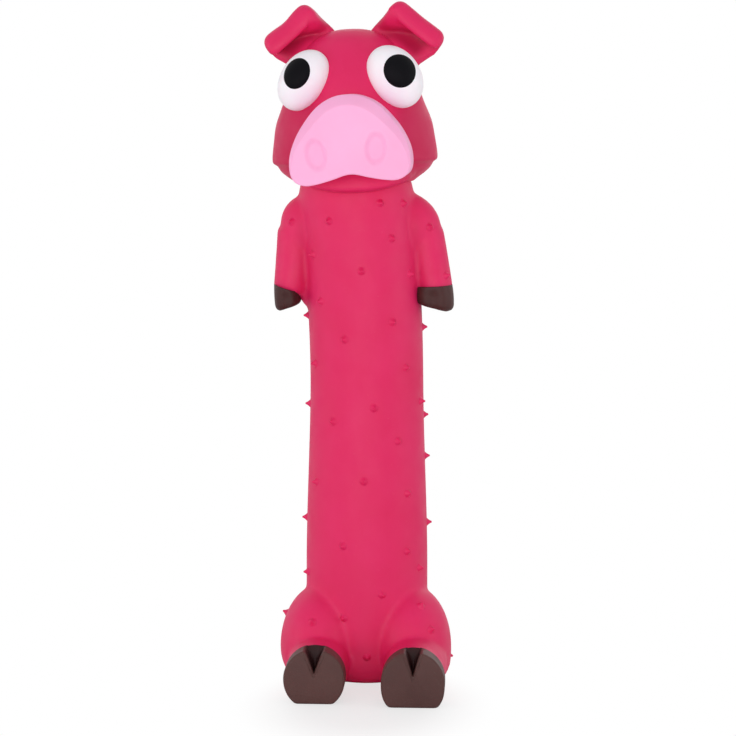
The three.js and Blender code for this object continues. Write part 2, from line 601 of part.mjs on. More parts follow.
// Stuffing of the body: a lower and an upper wad that meet round the squeaker.
function bodyFilling(lower) {
  const inset = SKIN_WALL + CLEARANCE;
  const away = lower ? 1 : -1;
  const other = farBlock(0, 0, SQUEAKER_HEIGHT + (away * (BEYOND - CLEARANCE)) / 2);
  const plugTop = SKIN_WALL + 2 * CLEARANCE + PLUG_FLANGE_THICKNESS;
  const plugRoom = PLUG_RADIUS + PLUG_FLANGE + CLEARANCE;
  const plug = new THREE.CylinderGeometry(plugRoom, plugRoom, 2 * plugTop, SMALL_FACETS).rotateX(Math.PI / 2);
  return bodyForm(inset, INNER_FACETS).subtract(solid(other)).subtract(squeakerRoom()).subtract(solid(plug));
}

const toy = new THREE.Group();
addPiece(toy, "torso_skin", torsoSkin(), RED_LATEX);
addPiece(toy, "base_plug", basePlug(), RED_LATEX);
addPiece(toy, "lower_filling", bodyFilling(true), FIBRE);
addPiece(toy, "upper_filling", bodyFilling(false), FIBRE);
for (const [name, side] of Object.entries(SIDES)) {
  const limbs = { arm: arm(name), leg: leg(name) };
  addPiece(toy, `${name}_arm`, limbs.arm.skin, RED_LATEX);
  addPiece(toy, `${name}_front_hoof`, limbs.arm.hoof, BROWN_LATEX);
  addPiece(toy, `${name}_leg`, limbs.leg.skin, RED_LATEX);
  addPiece(toy, `${name}_hind_hoof`, limbs.leg.hoof, BROWN_LATEX);
}

addPiece(squeaker, "squeaker_bulb", squeakerBulb(), WHITE_PLASTIC);
addPiece(squeaker, "squeaker_nozzle", squeakerNozzle(), WHITE_PLASTIC);
addPiece(squeaker, "reed_shoe", halfRound(-1, SHOE_LENGTH), WHITE_PLASTIC);
addPiece(squeaker, "squeaker_reed", squeakerReed(), CLEAR_FILM);
addPiece(squeaker, "reed_wedge", halfRound(1, WEDGE_LENGTH), WHITE_PLASTIC);
toy.add(squeaker);

const head = new THREE.Group();
head.position.set(leanAt(NECK_HEIGHT), 0, NECK_HEIGHT);
head.rotation.set(0, degToRad(HEAD_ROLL), degToRad(HEAD_TURN));
addPiece(head, "head_skin", headSkin(), RED_LATEX);
addPiece(head, "head_filling", headFilling(), FIBRE);
addPiece(head, "snout", snout(), PINK_LATEX);
for (const [name, side] of Object.entries(SIDES)) {
  addPiece(head, `${name}_eye`, eye(side), WHITE_LATEX);
  addPiece(head, `${name}_pupil`, pupil(side), BLACK_LATEX);
  const root = new THREE.Group();
  root.applyMatrix4(earPlace(side, 0));
  addPiece(root, `${name}_ear`, ear(side), RED_LATEX);
  head.add(root);
}
toy.add(head);

export default toy;
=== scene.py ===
import json

import bmesh
import bpy
import numpy as np
from mathutils import Matrix, Vector


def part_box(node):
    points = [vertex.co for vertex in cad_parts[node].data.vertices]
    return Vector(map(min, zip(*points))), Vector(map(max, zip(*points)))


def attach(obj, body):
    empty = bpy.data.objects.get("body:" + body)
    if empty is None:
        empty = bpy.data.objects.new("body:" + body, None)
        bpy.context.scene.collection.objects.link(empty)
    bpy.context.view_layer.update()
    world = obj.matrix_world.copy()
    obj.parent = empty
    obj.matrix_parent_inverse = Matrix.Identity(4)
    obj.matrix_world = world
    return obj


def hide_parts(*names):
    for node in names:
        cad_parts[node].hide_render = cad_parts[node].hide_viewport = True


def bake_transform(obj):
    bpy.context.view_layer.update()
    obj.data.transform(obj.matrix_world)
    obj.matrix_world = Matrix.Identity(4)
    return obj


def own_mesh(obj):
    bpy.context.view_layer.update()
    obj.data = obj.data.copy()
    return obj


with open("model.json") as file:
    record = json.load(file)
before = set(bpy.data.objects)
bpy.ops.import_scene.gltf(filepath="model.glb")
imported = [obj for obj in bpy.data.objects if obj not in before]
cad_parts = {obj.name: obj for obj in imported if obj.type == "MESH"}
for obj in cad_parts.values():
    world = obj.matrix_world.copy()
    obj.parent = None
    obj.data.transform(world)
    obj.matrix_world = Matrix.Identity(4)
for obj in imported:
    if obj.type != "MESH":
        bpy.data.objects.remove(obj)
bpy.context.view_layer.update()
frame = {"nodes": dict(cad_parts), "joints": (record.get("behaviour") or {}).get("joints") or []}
joints = {joint["name"]: joint for joint in frame["joints"]}

# Squeaker: a bellows capsule blow-moulded in soft white plastic, its collar pressed over a hard nozzle.
# It lies front to back in the stuffing, and a squeeze folds the bellows up against the nozzle's flange.
MM = 0.001


def mm(*lengths):
    """Lengths given in millimetres, in metres."""
    return tuple(length * MM for length in lengths)


SAME_POINT = 0.002 * MM
SQUEAKER_HEIGHT = 105 * MM
BULB_FRONT = -15 * MM
BULB_RADIUS, BULB_WALL, BULB_CROWN = mm(12, 0.9, 4)
BULB_FOLDS, BELLOWS_PITCH, BELLOWS_DEPTH = 3, 4.4 * MM, 1.6 * MM
COLLAR_RADIUS, COLLAR_LENGTH = mm(6.4, 3)
NOZZLE_RADIUS, NOZZLE_BORE, NOZZLE_FLANGE = mm(5.2, 4.2, 8)
NOZZLE_SUNK, NOZZLE_TAIL = mm(5, 6.4)
FLANGE_GAP, FLANGE_THICKNESS = mm(0.3, 1.4)
NOZZLE_EDGE = 0.25 * MM
PLASTIC_WHITE = (0.86, 0.86, 0.83)
PLASTIC_CREAM = (0.80, 0.79, 0.73)
FILM_GREY = (0.68, 0.72, 0.74)
CLOUD_SHADE = 0.88


def in_scene(name, data):
    """New object with the given data, linked to the scene."""
    made = bpy.data.objects.new(name, data)
    bpy.context.scene.collection.objects.link(made)
    return made


def piece(name, *grids):
    """Object from grids of points. A grid is a stack of closed rings: each cell is a quad, a ring's last
    point is followed by its first, and rings of no size close the ends."""
    points, quads, used = [], [], 0
    for grid in grids:
        rows, columns = grid.shape[:2]
        index = np.arange(rows * columns).reshape(rows, columns) + used
        after = np.roll(index, -1, axis=1)
        quads.append(np.stack([index[:-1], after[:-1], after[1:], index[1:]], axis=-1).reshape(-1, 4))
        points.append(grid.reshape(-1, 3))
        used += rows * columns
    mesh = bpy.data.meshes.new(name)
    mesh.from_pydata(np.concatenate(points).tolist(), [], np.concatenate(quads).tolist())
    shape = bmesh.new()
    shape.from_mesh(mesh)
    bmesh.ops.remove_doubles(shape, verts=shape.verts, dist=SAME_POINT)
    bmesh.ops.recalc_face_normals(shape, faces=shape.faces)
    shape.to_mesh(mesh)
    shape.free()
    mesh.shade_smooth()
    return in_scene(name, mesh)


def points_of(*coordinates):
    """Points from arrays of their coordinates."""
    return np.stack(coordinates, axis=-1)


def once_round(columns):
    """Even angles once round a circle, the last one short of the first."""
    return np.linspace(0, 2 * np.pi, columns, endpoint=False)


def turned(profile, columns=64):
    """Rings about Z: every [radius, height] point of the profile goes once round."""
    radius, height = np.asarray(profile, float).T[:, :, None]
    angle = once_round(columns)
    return points_of(radius * np.cos(angle), radius * np.sin(angle), height + 0 * angle)


def arc(radius, height, size, start, end, steps=8):
    """Points [radius, height] on a circle of the given size, from start to end in degrees."""
    angle = np.radians(np.linspace(start, end, steps))
    return points_of(radius + size * np.cos(angle), height + size * np.sin(angle))


def along_squeaker(grid):
    """Turns a grid so that its Z axis runs backwards along the squeaker, from the bulb's crown."""
    x, y, z = np.moveaxis(grid, -1, 0)
    return points_of(x, BULB_FRONT + z, SQUEAKER_HEIGHT + y)


def bulb_outline(inset):
    """Half outline of the bulb moved in by inset: crown, a cosine for the folds, and the shoulder."""
    body = BULB_CROWN + BULB_FOLDS * BELLOWS_PITCH
    height = np.linspace(BULB_CROWN, body, 40)
    dip = BELLOWS_DEPTH / 2 * (1 - np.cos(2 * np.pi * (height - BULB_CROWN) / BELLOWS_PITCH))
    folds = points_of(BULB_RADIUS - inset - dip, height)
    crown = arc(BULB_RADIUS - BULB_CROWN, BULB_CROWN, BULB_CROWN - inset, -90, 0)
    shoulder = arc(BULB_RADIUS - BULB_CROWN, body, BULB_CROWN - inset, 0, 90)
    return np.concatenate([[[0, inset]], crown, folds[1:-1], shoulder])


def preset(made, values):
    """Sets the inputs of a shader node to the values given under their names."""
    for socket, value in values.items():
        made.inputs[socket].default_value = value
    return made


def node(tree, kind, values=None):
    """New shader node of a kind in a tree, with the given values of its inputs."""
    return preset(tree.nodes.new(f"ShaderNode{kind}"), values or {})


def join(tree, *links):
    """Links the nodes of a tree. Each link is a node, its output, the next node and its input."""
    for start, output, end, socket in links:
        tree.links.new(start.outputs[output], end.inputs[socket])


def ramp(tree, low, high, start=0, end=1):
    """Colour ramp from one colour at start to another at end."""
    made = node(tree, "ValToRGB")
    for stop, colour, position in zip(made.color_ramp.elements, (low, high), (start, end)):
        stop.color, stop.position = (*colour, 1), position
    return made


def new_finish(name, values):
    """New finish, its tree, its shader with the given values, and the node of the object's coordinates."""
    finish = bpy.data.materials.new(name)
    finish.use_nodes = True
    tree = finish.node_tree
    return finish, tree, preset(tree.nodes["Principled BSDF"], values), node(tree, "TexCoord")


def plastic_finish(name, colour, roughness):
    """Soft plastic: cloudy colour from a slow noise, and a fine moulded grain as a bump."""
    finish, tree, shader, place = new_finish(name, {"Roughness": roughness})
    cloud = node(tree, "TexNoise", {"Scale": 180})
    tint = ramp(tree, [CLOUD_SHADE * c for c in colour], colour)
    grain = node(tree, "TexNoise", {"Scale": 2500})
    bump = node(tree, "Bump", {"Strength": 0.08, "Distance": 0.1 * MM})
    join(
        tree, (place, "Object", cloud, "Vector"), (place, "Object", grain, "Vector"),
        (cloud, "Fac", tint, "Fac"), (tint, "Color", shader, "Base Color"),
        (grain, "Fac", bump, "Height"), (bump, "Normal", shader, "Normal"),
    )
    return finish


def paint(made, finish):
    """Gives an object one finish, in place of those that it has."""
    made.data.materials.clear()
    made.data.materials.append(finish)


def dress(made, finish, slot, body, *nodes):
    """Gives a piece its finish, the body that it rides on and the nodes that it stands for; a piece given no
    body rides on none. The slot is not used."""
    paint(made, finish)
    if body:
        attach(made, body)
    if nodes:
        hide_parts(*nodes)


soft_white_plastic = plastic_finish("soft_white_plastic", PLASTIC_WHITE, 0.42)
hard_cream_plastic = plastic_finish("hard_cream_plastic", PLASTIC_CREAM, 0.3)
reed_film = plastic_finish("reed_film", FILM_GREY, 0.2)

outside, inside = bulb_outline(0), bulb_outline(BULB_WALL)
collar_start, collar_end = outside[-1, 1], outside[-1, 1] + COLLAR_LENGTH
collar_inside = COLLAR_RADIUS - BULB_WALL
collar = [[COLLAR_RADIUS, collar_start], [COLLAR_RADIUS, collar_end]]
collar += [[collar_inside, collar_end], [collar_inside, collar_start - BULB_WALL]]
bulb = piece("bellows_bulb", along_squeaker(turned(np.concatenate([outside, collar, inside[::-1]]))))
dress(bulb, soft_white_plastic, "white_plastic", "torso", "squeaker_bulb")
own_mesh(bulb)

nozzle_front, flange_front = collar_end - NOZZLE_SUNK, collar_end + FLANGE_GAP
flange_back, nozzle_back = flange_front + FLANGE_THICKNESS, flange_front + NOZZLE_TAIL
nozzle_profile = [
    [NOZZLE_BORE, nozzle_front], [NOZZLE_RADIUS, nozzle_front], [NOZZLE_RADIUS, flange_front],
    [NOZZLE_FLANGE, flange_front], [NOZZLE_FLANGE, flange_back], [NOZZLE_RADIUS, flange_back],
    [NOZZLE_RADIUS, nozzle_back], [NOZZLE_BORE, nozzle_back], [NOZZLE_BORE, nozzle_front],
]
nozzle = piece("flanged_nozzle", along_squeaker(turned(nozzle_profile)))
rim = nozzle.modifiers.new("moulded edges", "BEVEL")
rim.width = NOZZLE_EDGE
rim.segments = 2
dress(nozzle, hard_cream_plastic, "white_plastic", "torso", "squeaker_nozzle")

for part in ("reed_shoe", "reed_wedge"):
    paint(frame["nodes"][part], hard_cream_plastic)
paint(frame["nodes"]["squeaker_reed"], reed_film)

# Stuffing of the body: two wads of teased white polyester fibre, pushed in through the seat.
# They fill the tube loosely from plug to neck and meet round the squeaker, which leaves its trough in both.
HIP_HEIGHT, WAIST_HEIGHT, NECK_HEIGHT = mm(45, 128, 200)
HIP_RADIUS, WAIST_RADIUS, NECK_RADIUS = mm(25.4, 23.5, 23.8)
SEAT_ROUND = 9 * MM
LEAN, LEAN_START = mm(4.4, 120)
SKIN_WALL = 2 * MM
WAD_GAP, WAD_OVER_NECK = mm(0.4, 10)
WAD_ROUND, WAD_ROUND_HEIGHT = mm(3, 9)
LUMP_SIZE, LUMP_DEPTH = 9 * MM, 0.035
TROUGH_RADIUS, TROUGH_SLOPE = mm(12.8, 1)
TROUGH_FRONT, TROUGH_BACK = mm(-15.8, 16.6)
FIBRE_WHITE = (0.88, 0.87, 0.84)
FIBRE_SHADE = (0.66, 0.65, 0.63)


def ease_line(value, low, high):
    """Straight step: 0 below low, 1 above high, and even between them."""
    return np.clip((value - low) / (high - low), 0, 1)


def ease(value, low, high):
    """Smooth step: 0 below low, 1 above high, and a cubic between them."""
    share = ease_line(value, low, high)
    return share * share * (3 - 2 * share)


def between(first, last, share):
    """Straight mix: the first at share 0, the last at share 1."""
    return first + (last - first) * share


def body_radius(height):
    """Radius of the tube: it steps smoothly from the hips in to the waist, and out again to the neck."""
    to_waist = between(HIP_RADIUS, WAIST_RADIUS, ease(height, HIP_HEIGHT, WAIST_HEIGHT))
    return to_waist + (NECK_RADIUS - WAIST_RADIUS) * ease(height, WAIST_HEIGHT, NECK_HEIGHT)


def lean_at(height):
    """Sideways shift of the tube's middle: none at the seat, then a parabola up to the neck."""
    return -LEAN * ease_line(height, LEAN_START, NECK_HEIGHT) ** 2


def leaned(grid):
    """Shifts every point of an upright grid sideways by the lean at its height."""
    moved = grid.copy()
    moved[..., 0] += lean_at(grid[..., 2])
    return moved


def lumps(grid, size, depth):
    """Pulls a grid in towards its vertical axis by three crossed sine waves, for an uneven surface."""
    x, y, z = np.moveaxis(grid, -1, 0) / size
    wave = np.sin(x + 1.7 * z) * np.sin(1.3 * y - z) + 0.6 * np.sin(2.3 * x - 1.1 * y + 0.4 * z)
    scale = 1 - depth * (0.5 + wave / 3.2)
    return grid * points_of(scale, scale, np.ones_like(scale))


def wad(low, high, cut_top):
    """Lumpy plug of fibre between two heights of the tube, rounded at its foot and over the neck's ball, its
    end at the squeaker sunk by a round trough."""
    height = np.linspace(low, high, 70)
    round_over = np.sqrt(NECK_RADIUS**2 - np.maximum(height - NECK_HEIGHT, 0) ** 2) - NECK_RADIUS
    round_foot = WAD_ROUND * (1 - ease(height, low, low + WAD_ROUND_HEIGHT))
    radius = body_radius(height) + round_over - (SKIN_WALL + 2 * WAD_GAP) - round_foot
    side = points_of(radius, height)
    cap = np.linspace(1, 0, 40)[1:, None]
    bottom = np.concatenate([cap * side[0, :1], 0 * cap + low], axis=-1)[::-1]
    top = np.concatenate([cap * side[-1, :1], 0 * cap + high], axis=-1)
    grid = lumps(turned(np.concatenate([bottom, side, top]), 128), LUMP_SIZE, LUMP_DEPTH)
    x, y, z = np.moveaxis(grid, -1, 0)
    behind_front = ease(y, TROUGH_FRONT - TROUGH_SLOPE, TROUGH_FRONT)
    before_back = 1 - ease(y, TROUGH_BACK, TROUGH_BACK + TROUGH_SLOPE)
    trough = np.sqrt(np.clip(TROUGH_RADIUS**2 - x**2, 0, None)) * (behind_front * before_back)
    if cut_top:
        grid[..., 2] = np.minimum(z, SQUEAKER_HEIGHT - trough - WAD_GAP)
    else:
        grid[..., 2] = np.maximum(z, SQUEAKER_HEIGHT + trough + WAD_GAP)
    return leaned(grid)


def fibre_finish():
    """Teased fibre: fine stretched noise for the strands, in white over grey, raised as a bump."""
    finish, tree, shader, place = new_finish("teased_fibre", {"Roughness": 0.95, "Sheen Weight": 0.4})
    turn = node(tree, "Mapping", {"Rotation": (0.4, 0.7, 0.2), "Scale": (1, 1, 6)})
    strands = node(tree, "TexNoise", {"Scale": 420, "Detail": 6, "Distortion": 1.2})
    tint = ramp(tree, FIBRE_SHADE, FIBRE_WHITE, 0.35, 0.6)
    bump = node(tree, "Bump", {"Strength": 0.5, "Distance": 0.6 * MM})
    join(
        tree, (place, "Object", turn, "Vector"), (turn, "Vector", strands, "Vector"),
        (strands, "Fac", tint, "Fac"), (tint, "Color", shader, "Base Color"),
        (strands, "Fac", bump, "Height"), (bump, "Normal", shader, "Normal"),
    )
    return finish


teased_fibre = fibre_finish()
plug_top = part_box("base_plug")[1].z
for name, low, high, cut_top, filling in (
    ("lower_wad", plug_top + WAD_GAP, SQUEAKER_HEIGHT, True, "lower_filling"),
    ("upper_wad", SQUEAKER_HEIGHT, NECK_HEIGHT + WAD_OVER_NECK, False, "upper_filling"),
):
    fibre_wad = piece(name, wad(low, high, cut_top))
    dress(fibre_wad, teased_fibre, "fibre", "torso", filling)

# Body skin: one slush-moulded casting of the tube, the arms and the legs, in latex about 2 mm thick.
# The limbs melt into the tube in soft creases, with painted shade along those inside the arms, and talc from
# the mould leaves faint pale flecks.
SIDES = {"left": 1, "right": -1}


def by_side(left, right):
    """One value for the toy's left and one for its right."""
    return {"left": left, "right": right}


SHOULDER_PLACE = by_side(mm(19.5, 0, 188.5), mm(-18.8, 0, 188))
SHOULDER_RADII = by_side(mm(14.4, 11, 14.6), mm(13.8, 11, 14.2))
ARM_TOP = by_side(mm(26.2, 188.5), mm(25.3, 188.5))
ARM_FOOT = by_side(mm(29.8, 160), mm(30.3, 160))
ARM_WIDTH, ARM_NARROWING, ARM_DEPTH = mm(8.5, 1, 8.8)
ARM_FORWARD = -2.5 * MM
WRIST_START, WRIST_END = 0.82, 1.02
WEB_PLACE = by_side(mm(22.6, -1, 180), mm(-23.6, -1, 173))
WEB_RADII = by_side(mm(5, 6.4, 18), mm(5, 6.8, 17.5))
HAUNCH_PLACE = mm(19, -9, 14)
HAUNCH_RADII, HAUNCH_DROP = mm(16.7, 23, 25.6), 18 * MM
FOOT_OUT = by_side(*mm(21.2, 18.6))
FOOT_ROOT, FOOT_RADIUS, FOOT_SUNK = mm(15, 11.6, 0.8)
SOLE_FRONT = by_side(*mm(-57, -53))
SOLE_HEIGHT = 10.1 * MM
HIND_HOOF_LENGTH = 11 * MM
BODY_CELL, BODY_ROUNDS = 0.8 * MM, 18
CREASE_PLACE, CREASE_WIDTH, CREASE_SHADE = 23.3 * MM, 2.6 * MM, 0.16
CREASE_FOOT, CREASE_TOP = mm(156, 166), mm(188, 200)
# Each latex colour is followed by its deeper tone.
LATEX_RED = (0.74, 0.016, 0.12), (0.69, 0.01, 0.09)
TALC_PALE = (0.9, 0.78, 0.8)
# Tint of the deeper tone for painted shade in folds, clefts, creases and cheeks.
PAINTED_SHADE_TINT = (0.4, 0.15, 0.2)


def ball(place, radii, rows=40, columns=64):
    """Ellipsoid of rings about a middle."""
    rise = np.linspace(-np.pi / 2, np.pi / 2, rows)
    upright = turned(points_of(np.cos(rise), np.sin(rise)), columns)
    return upright * np.array(radii) + np.array(place)


def shallow_ball(radii, drop, rows=40):
    """Ellipsoid about the origin that reaches down only by drop."""
    grid = ball((0, 0, 0), radii, rows)
    grid[..., 2] = np.where(grid[..., 2] < 0, grid[..., 2] * drop / radii[2], grid[..., 2])
    return grid


def tube():
    """Rings up the tube: flat seat with a round edge, the body's radius, and a ball at the neck."""
    seat = arc(HIP_RADIUS - SEAT_ROUND, SEAT_ROUND, SEAT_ROUND, -90, 0, 12)
    height = np.linspace(SEAT_ROUND, NECK_HEIGHT, 120)[1:-1]
    side = points_of(body_radius(height), height)
    top = arc(0, NECK_HEIGHT, NECK_RADIUS, 0, 90, 24)
    return leaned(turned(np.concatenate([[[0, 0]], seat, side, top]), 128))


def arm(name):
    """Ellipse carried down a straight line from the shoulder: it narrows evenly and closes at the wrist in a
    quarter of an ellipse. It starts inside the shoulder, where a ring of no size closes it."""
    share = np.linspace(0, WRIST_END, 48)[:, None]
    close = np.sqrt(1 - ease_line(share, WRIST_START, WRIST_END) ** 2)
    close[0] = 0
    (top_x, top_z), (foot_x, foot_z) = ARM_TOP[name], ARM_FOOT[name]
    angle = once_round(64)
    x = between(top_x, foot_x, share) + (ARM_WIDTH - ARM_NARROWING * share) * close * np.cos(angle)
    y = ARM_FORWARD * share + ARM_DEPTH * close * np.sin(angle)
    z = between(top_z, foot_z, share) + 0 * angle
    return leaned(points_of(SIDES[name] * x, y, z))


def haunch(name):
    """Ellipsoid beside the seat, shallower below its middle and pressed flat on the floor."""
    grid = shallow_ball(HAUNCH_RADII, HAUNCH_DROP, 48) + np.array(HAUNCH_PLACE) * (SIDES[name], 1, 1)
    grid[..., 2] = np.maximum(grid[..., 2], 0)
    return grid


def foot(name):
    """Circle carried forward along Y from the haunch into the hoof, narrowing on the way by the square root
    of the distance, flat on the floor."""
    back, front = HAUNCH_PLACE[1], SOLE_FRONT[name] + HIND_HOOF_LENGTH - FOOT_SUNK
    share = np.linspace(0, 1, 40)
    radius = np.concatenate([[0], between(FOOT_ROOT, FOOT_RADIUS, np.sqrt(share)), [0]])
    along = np.concatenate([[back], between(back, front, share), [front]])
    x, z, y = np.moveaxis(turned(points_of(radius, along)), -1, 0)
    return points_of(SIDES[name] * FOOT_OUT[name] + x, y, np.maximum(SOLE_HEIGHT + z, 0))


def limbs(name):
    """The shoulder, arm, haunch and foot of one side, and the web of skin in the crease inside the arm."""
    shoulder = leaned(ball(SHOULDER_PLACE[name], SHOULDER_RADII[name]))
    web = leaned(ball(WEB_PLACE[name], WEB_RADII[name]))
    return [shoulder, web, arm(name), haunch(name), foot(name)]


def fused(name, grids, cell, rounds):
    """One skin from closed grids that overlap: their union in even cells, then rounds of smoothing that move
    each point half way to the middle of its neighbours."""
    made = piece(name, *grids)
    cells = made.modifiers.new("even cells", "REMESH")
    cells.mode = "VOXEL"
    cells.voxel_size = cell
    soften = made.modifiers.new("soft creases", "SMOOTH")
    soften.factor = 0.5
    soften.iterations = rounds
    made.data = bpy.data.meshes.new_from_object(made.evaluated_get(bpy.context.evaluated_depsgraph_get()))
    made.modifiers.clear()
    made.data.shade_smooth()
    return made


def maths(tree, operation, kind="Math"):
    """Shader node that does one operation on its inputs."""
    made = node(tree, kind)
    made.operation = operation
    return made


def colour_mix(tree, second=(0, 0, 0)):
    """Shader node that mixes a colour with a second one by a factor."""
    made = node(tree, "Mix")
    made.data_type = "RGBA"
    return preset(made, {"B": (*second, 1)})


def latex_group():
    """Moulded latex: slow clouds between a colour and its deeper tone, pale talc flecks, and a fine pitted
    grain."""
    group = bpy.data.node_groups.new("latex_surface", "ShaderNodeTree")
    for way, socket, kind in (
        ("INPUT", "Place", "Vector"), ("INPUT", "Colour", "Color"), ("INPUT", "Deep colour", "Color"),
        ("INPUT", "Talc", "Float"), ("OUTPUT", "Surface colour", "Color"),
        ("OUTPUT", "Surface roughness", "Float"), ("OUTPUT", "Grain", "Float"),
    ):
        group.interface.new_socket(socket, in_out=way, socket_type=f"NodeSocket{kind}")
    given, result = group.nodes.new("NodeGroupInput"), group.nodes.new("NodeGroupOutput")

    def noise(scale, detail):
        made = node(group, "TexNoise", {"Scale": scale, "Detail": detail})
        join(group, (given, "Place", made, "Vector"))
        return made

    def ranged(source, low, high, start, end):
        made = node(group, "MapRange", {"From Min": low, "From Max": high, "To Min": start, "To Max": end})
        join(group, (source, "Fac", made, "Value"))
        return made

    clouds = ranged(noise(45, 4), 0.35, 0.7, 0, 0.55)
    flecks = ranged(noise(900, 2), 0.66, 0.85, 0, 1)
    roughness = ranged(noise(120, 5), 0.3, 0.7, 0.44, 0.6)
    clouded, flecked = colour_mix(group), colour_mix(group, TALC_PALE)
    talc = maths(group, "MULTIPLY")
    join(
        group, (clouds, "Result", clouded, "Factor"), (given, "Colour", clouded, "A"),
        (given, "Deep colour", clouded, "B"), (flecks, "Result", talc, 0), (given, "Talc", talc, 1),
        (talc, "Value", flecked, "Factor"), (clouded, "Result", flecked, "A"),
        (flecked, "Result", result, "Surface colour"), (roughness, "Result", result, "Surface roughness"),
        (noise(1500, 3), "Fac", result, "Grain"),
    )
    return group


def latex_finish(name, colour, deep, talc=0.02, specular=0.3, grain=0.12):
    """Satin latex in one colour, with the moulded surface, a little depth under it and painted shade in
    folds.
    """
    finish, tree, shader, place = new_finish(name, {
        "Specular IOR Level": specular, "Subsurface Weight": 0.12, "Subsurface Radius": (1, 0.35, 0.4),
        "Subsurface Scale": 1.5 * MM,
    })
    surface = node(tree, "Group")
    surface.node_tree = latex_surface
    preset(surface, {"Colour": (*colour, 1), "Deep colour": (*deep, 1), "Talc": talc})
    bump = node(tree, "Bump", {"Strength": grain, "Distance": 0.15 * MM})
    shade = node(tree, "Attribute")
    shade.attribute_name = "shade"
    # Painted shade: the surface colour is mixed towards the darker tint by the shade attribute.
    painted_shade_mix = colour_mix(tree, np.array(deep) * PAINTED_SHADE_TINT)
    join(
        tree, (place, "Object", surface, "Place"), (shade, "Fac", painted_shade_mix, "Factor"),
        (surface, "Surface colour", painted_shade_mix, "A"), (painted_shade_mix, "Result", shader, "Base Color"),
        (surface, "Surface roughness", shader, "Roughness"), (surface, "Grain", bump, "Height"),
        (bump, "Normal", shader, "Normal"),
    )
    return finish


def shaded(made, rule):
    """Stores at each point the share that a rule gives it, for the finish to paint shade by."""
    spots = np.empty(3 * len(made.data.vertices), np.float32)
    made.data.vertices.foreach_get("co", spots)
    share = made.data.attributes.new("shade", "FLOAT", "POINT")
    share.data.foreach_set("value", rule(spots.reshape(-1, 3)).astype(np.float32))


def in_creases(spots):
    """Rule for the body's painted shade: a soft band in front along the crease inside each arm."""
    x, y, z = spots.T
    band = np.exp(-(((np.abs(x - lean_at(z)) - CREASE_PLACE) / CREASE_WIDTH) ** 2)) * (y < 0)
    return CREASE_SHADE * band * ease(z, *CREASE_FOOT) * (1 - ease(z, *CREASE_TOP))


latex_surface = latex_group()
red_latex = latex_finish("red_latex", *LATEX_RED)
body_skin = fused("body_skin", [tube(), *limbs("left"), *limbs("right")], BODY_CELL, BODY_ROUNDS)
# Painted shade along the creases inside the arms.
shaded(body_skin, in_creases)
limb_nodes = ("left_arm", "right_arm", "left_leg", "right_leg")
dress(body_skin, red_latex, "red_latex", "torso", "torso_skin", *limb_nodes)
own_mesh(body_skin)

# Plug: a flanged stopper moulded in the same latex, with a vent through its middle.
# It is glued into the hole in the seat that the toy is stuffed through, and keeps the CAD's own shape.
paint(frame["nodes"]["base_plug"], red_latex)

# Nubs: soft thorns moulded with the skin, scattered over the body, the arms and the haunches.
# Each is a cone with a flared foot and a blunt tip, and stands square to the skin.
NUB_HEIGHT, NUB_SUNK = mm(2.1, 0.15)
NUB_FOOT, NUB_TIP, NUB_FLARE = 1.9 * MM, 0.4 * MM, 1.5
FRONT_NUBS = [  # millimetres above the floor, then degrees from the front towards the toy's left
    (199.4, 27), (199, 56), (192, -27), (185, 36), (178, -53), (172, 2), (170, 57), (159, -46), (151, 31),
    (152, -84), (147, 92), (144, -19), (133, -61), (132, 46), (116, 10), (117, 73), (115, -86), (110, 98),
    (110, -33), (102, 35), (93, 92), (86, 0), (84, -56), (80, 46), (67, -86), (65, 91), (59, -20), (56, 44),
    (48, 62), (45, -72), (39, 17), (29, -19), (13, 3),
]
LIMB_NUBS = [(191, -73), (189, 75), (169, 78), (34, 47), (28, -37), (25, 47), (27, -80), (8, -88), (9, 85)]
BACK_DROP, BACK_SPREAD = 4, 50
RAY_START = 150 * MM


def nub_grid(point, normal):
    """Rings of a cone along the normal: the radius falls to the tip with a power of the height that is left,
    so that the foot flares."""
    share = np.linspace(0, 1, 6)
    radius = np.append(between(NUB_TIP, NUB_FOOT, (1 - share) ** NUB_FLARE), 0)
    height = np.append(NUB_HEIGHT * share - NUB_SUNK, NUB_HEIGHT)
    upright = turned(points_of(radius, height), 12)
    turn = np.array(Vector((0, 0, 1)).rotation_difference(normal).to_matrix())
    return upright @ turn.T + np.array(point)


facing_front = [(height, degrees) for height, degrees in FRONT_NUBS if abs(degrees) < BACK_SPREAD]
back_nubs = [(height - BACK_DROP, 180 + degrees) for height, degrees in facing_front]
nub_grids = []
for height, degrees in FRONT_NUBS + back_nubs + LIMB_NUBS:
    angle = np.radians(degrees)
    outward = Vector((np.sin(angle), -np.cos(angle), 0))
    middle = Vector((lean_at(height * MM), 0, height * MM))
    _, point, normal, _ = body_skin.ray_cast(middle + outward * RAY_START, -outward)
    nub_grids.append(nub_grid(point, normal))
nubs = piece("skin_nubs", *nub_grids)
dress(nubs, red_latex, "red_latex", "torso")
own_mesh(nubs)

# Hind hooves: the painted ends of the feet, with flat soles to the front and a deep V cleft from above.
# Brown satin paint over the latex, a little cloudy, with painted shade that makes it nearly black inside the
# cleft.
HIND_HOOF_RADIUS = by_side(*mm(12.8, 12.4))
HIND_HOOF_SQUARE = by_side(2.7, 2.1)
CLEFT_HALF_WIDTH, CLEFT_DEPTH = by_side(*mm(3, 3.7)), 10 * MM
CLEFT_RUN, CLEFT_SHADE = (0.06, 0.3), 0.9
CLEFT_SHADE_RUN, CLEFT_SHADE_EDGE = mm(0.5, 2.5), 0.5 * MM
HOOF_EDGE, SOLE_DOME = mm(1.1, 0.5)
NEVER_ZERO = 1e-6
PAINT_BROWN = (0.094, 0.041, 0.037), (0.062, 0.025, 0.023)


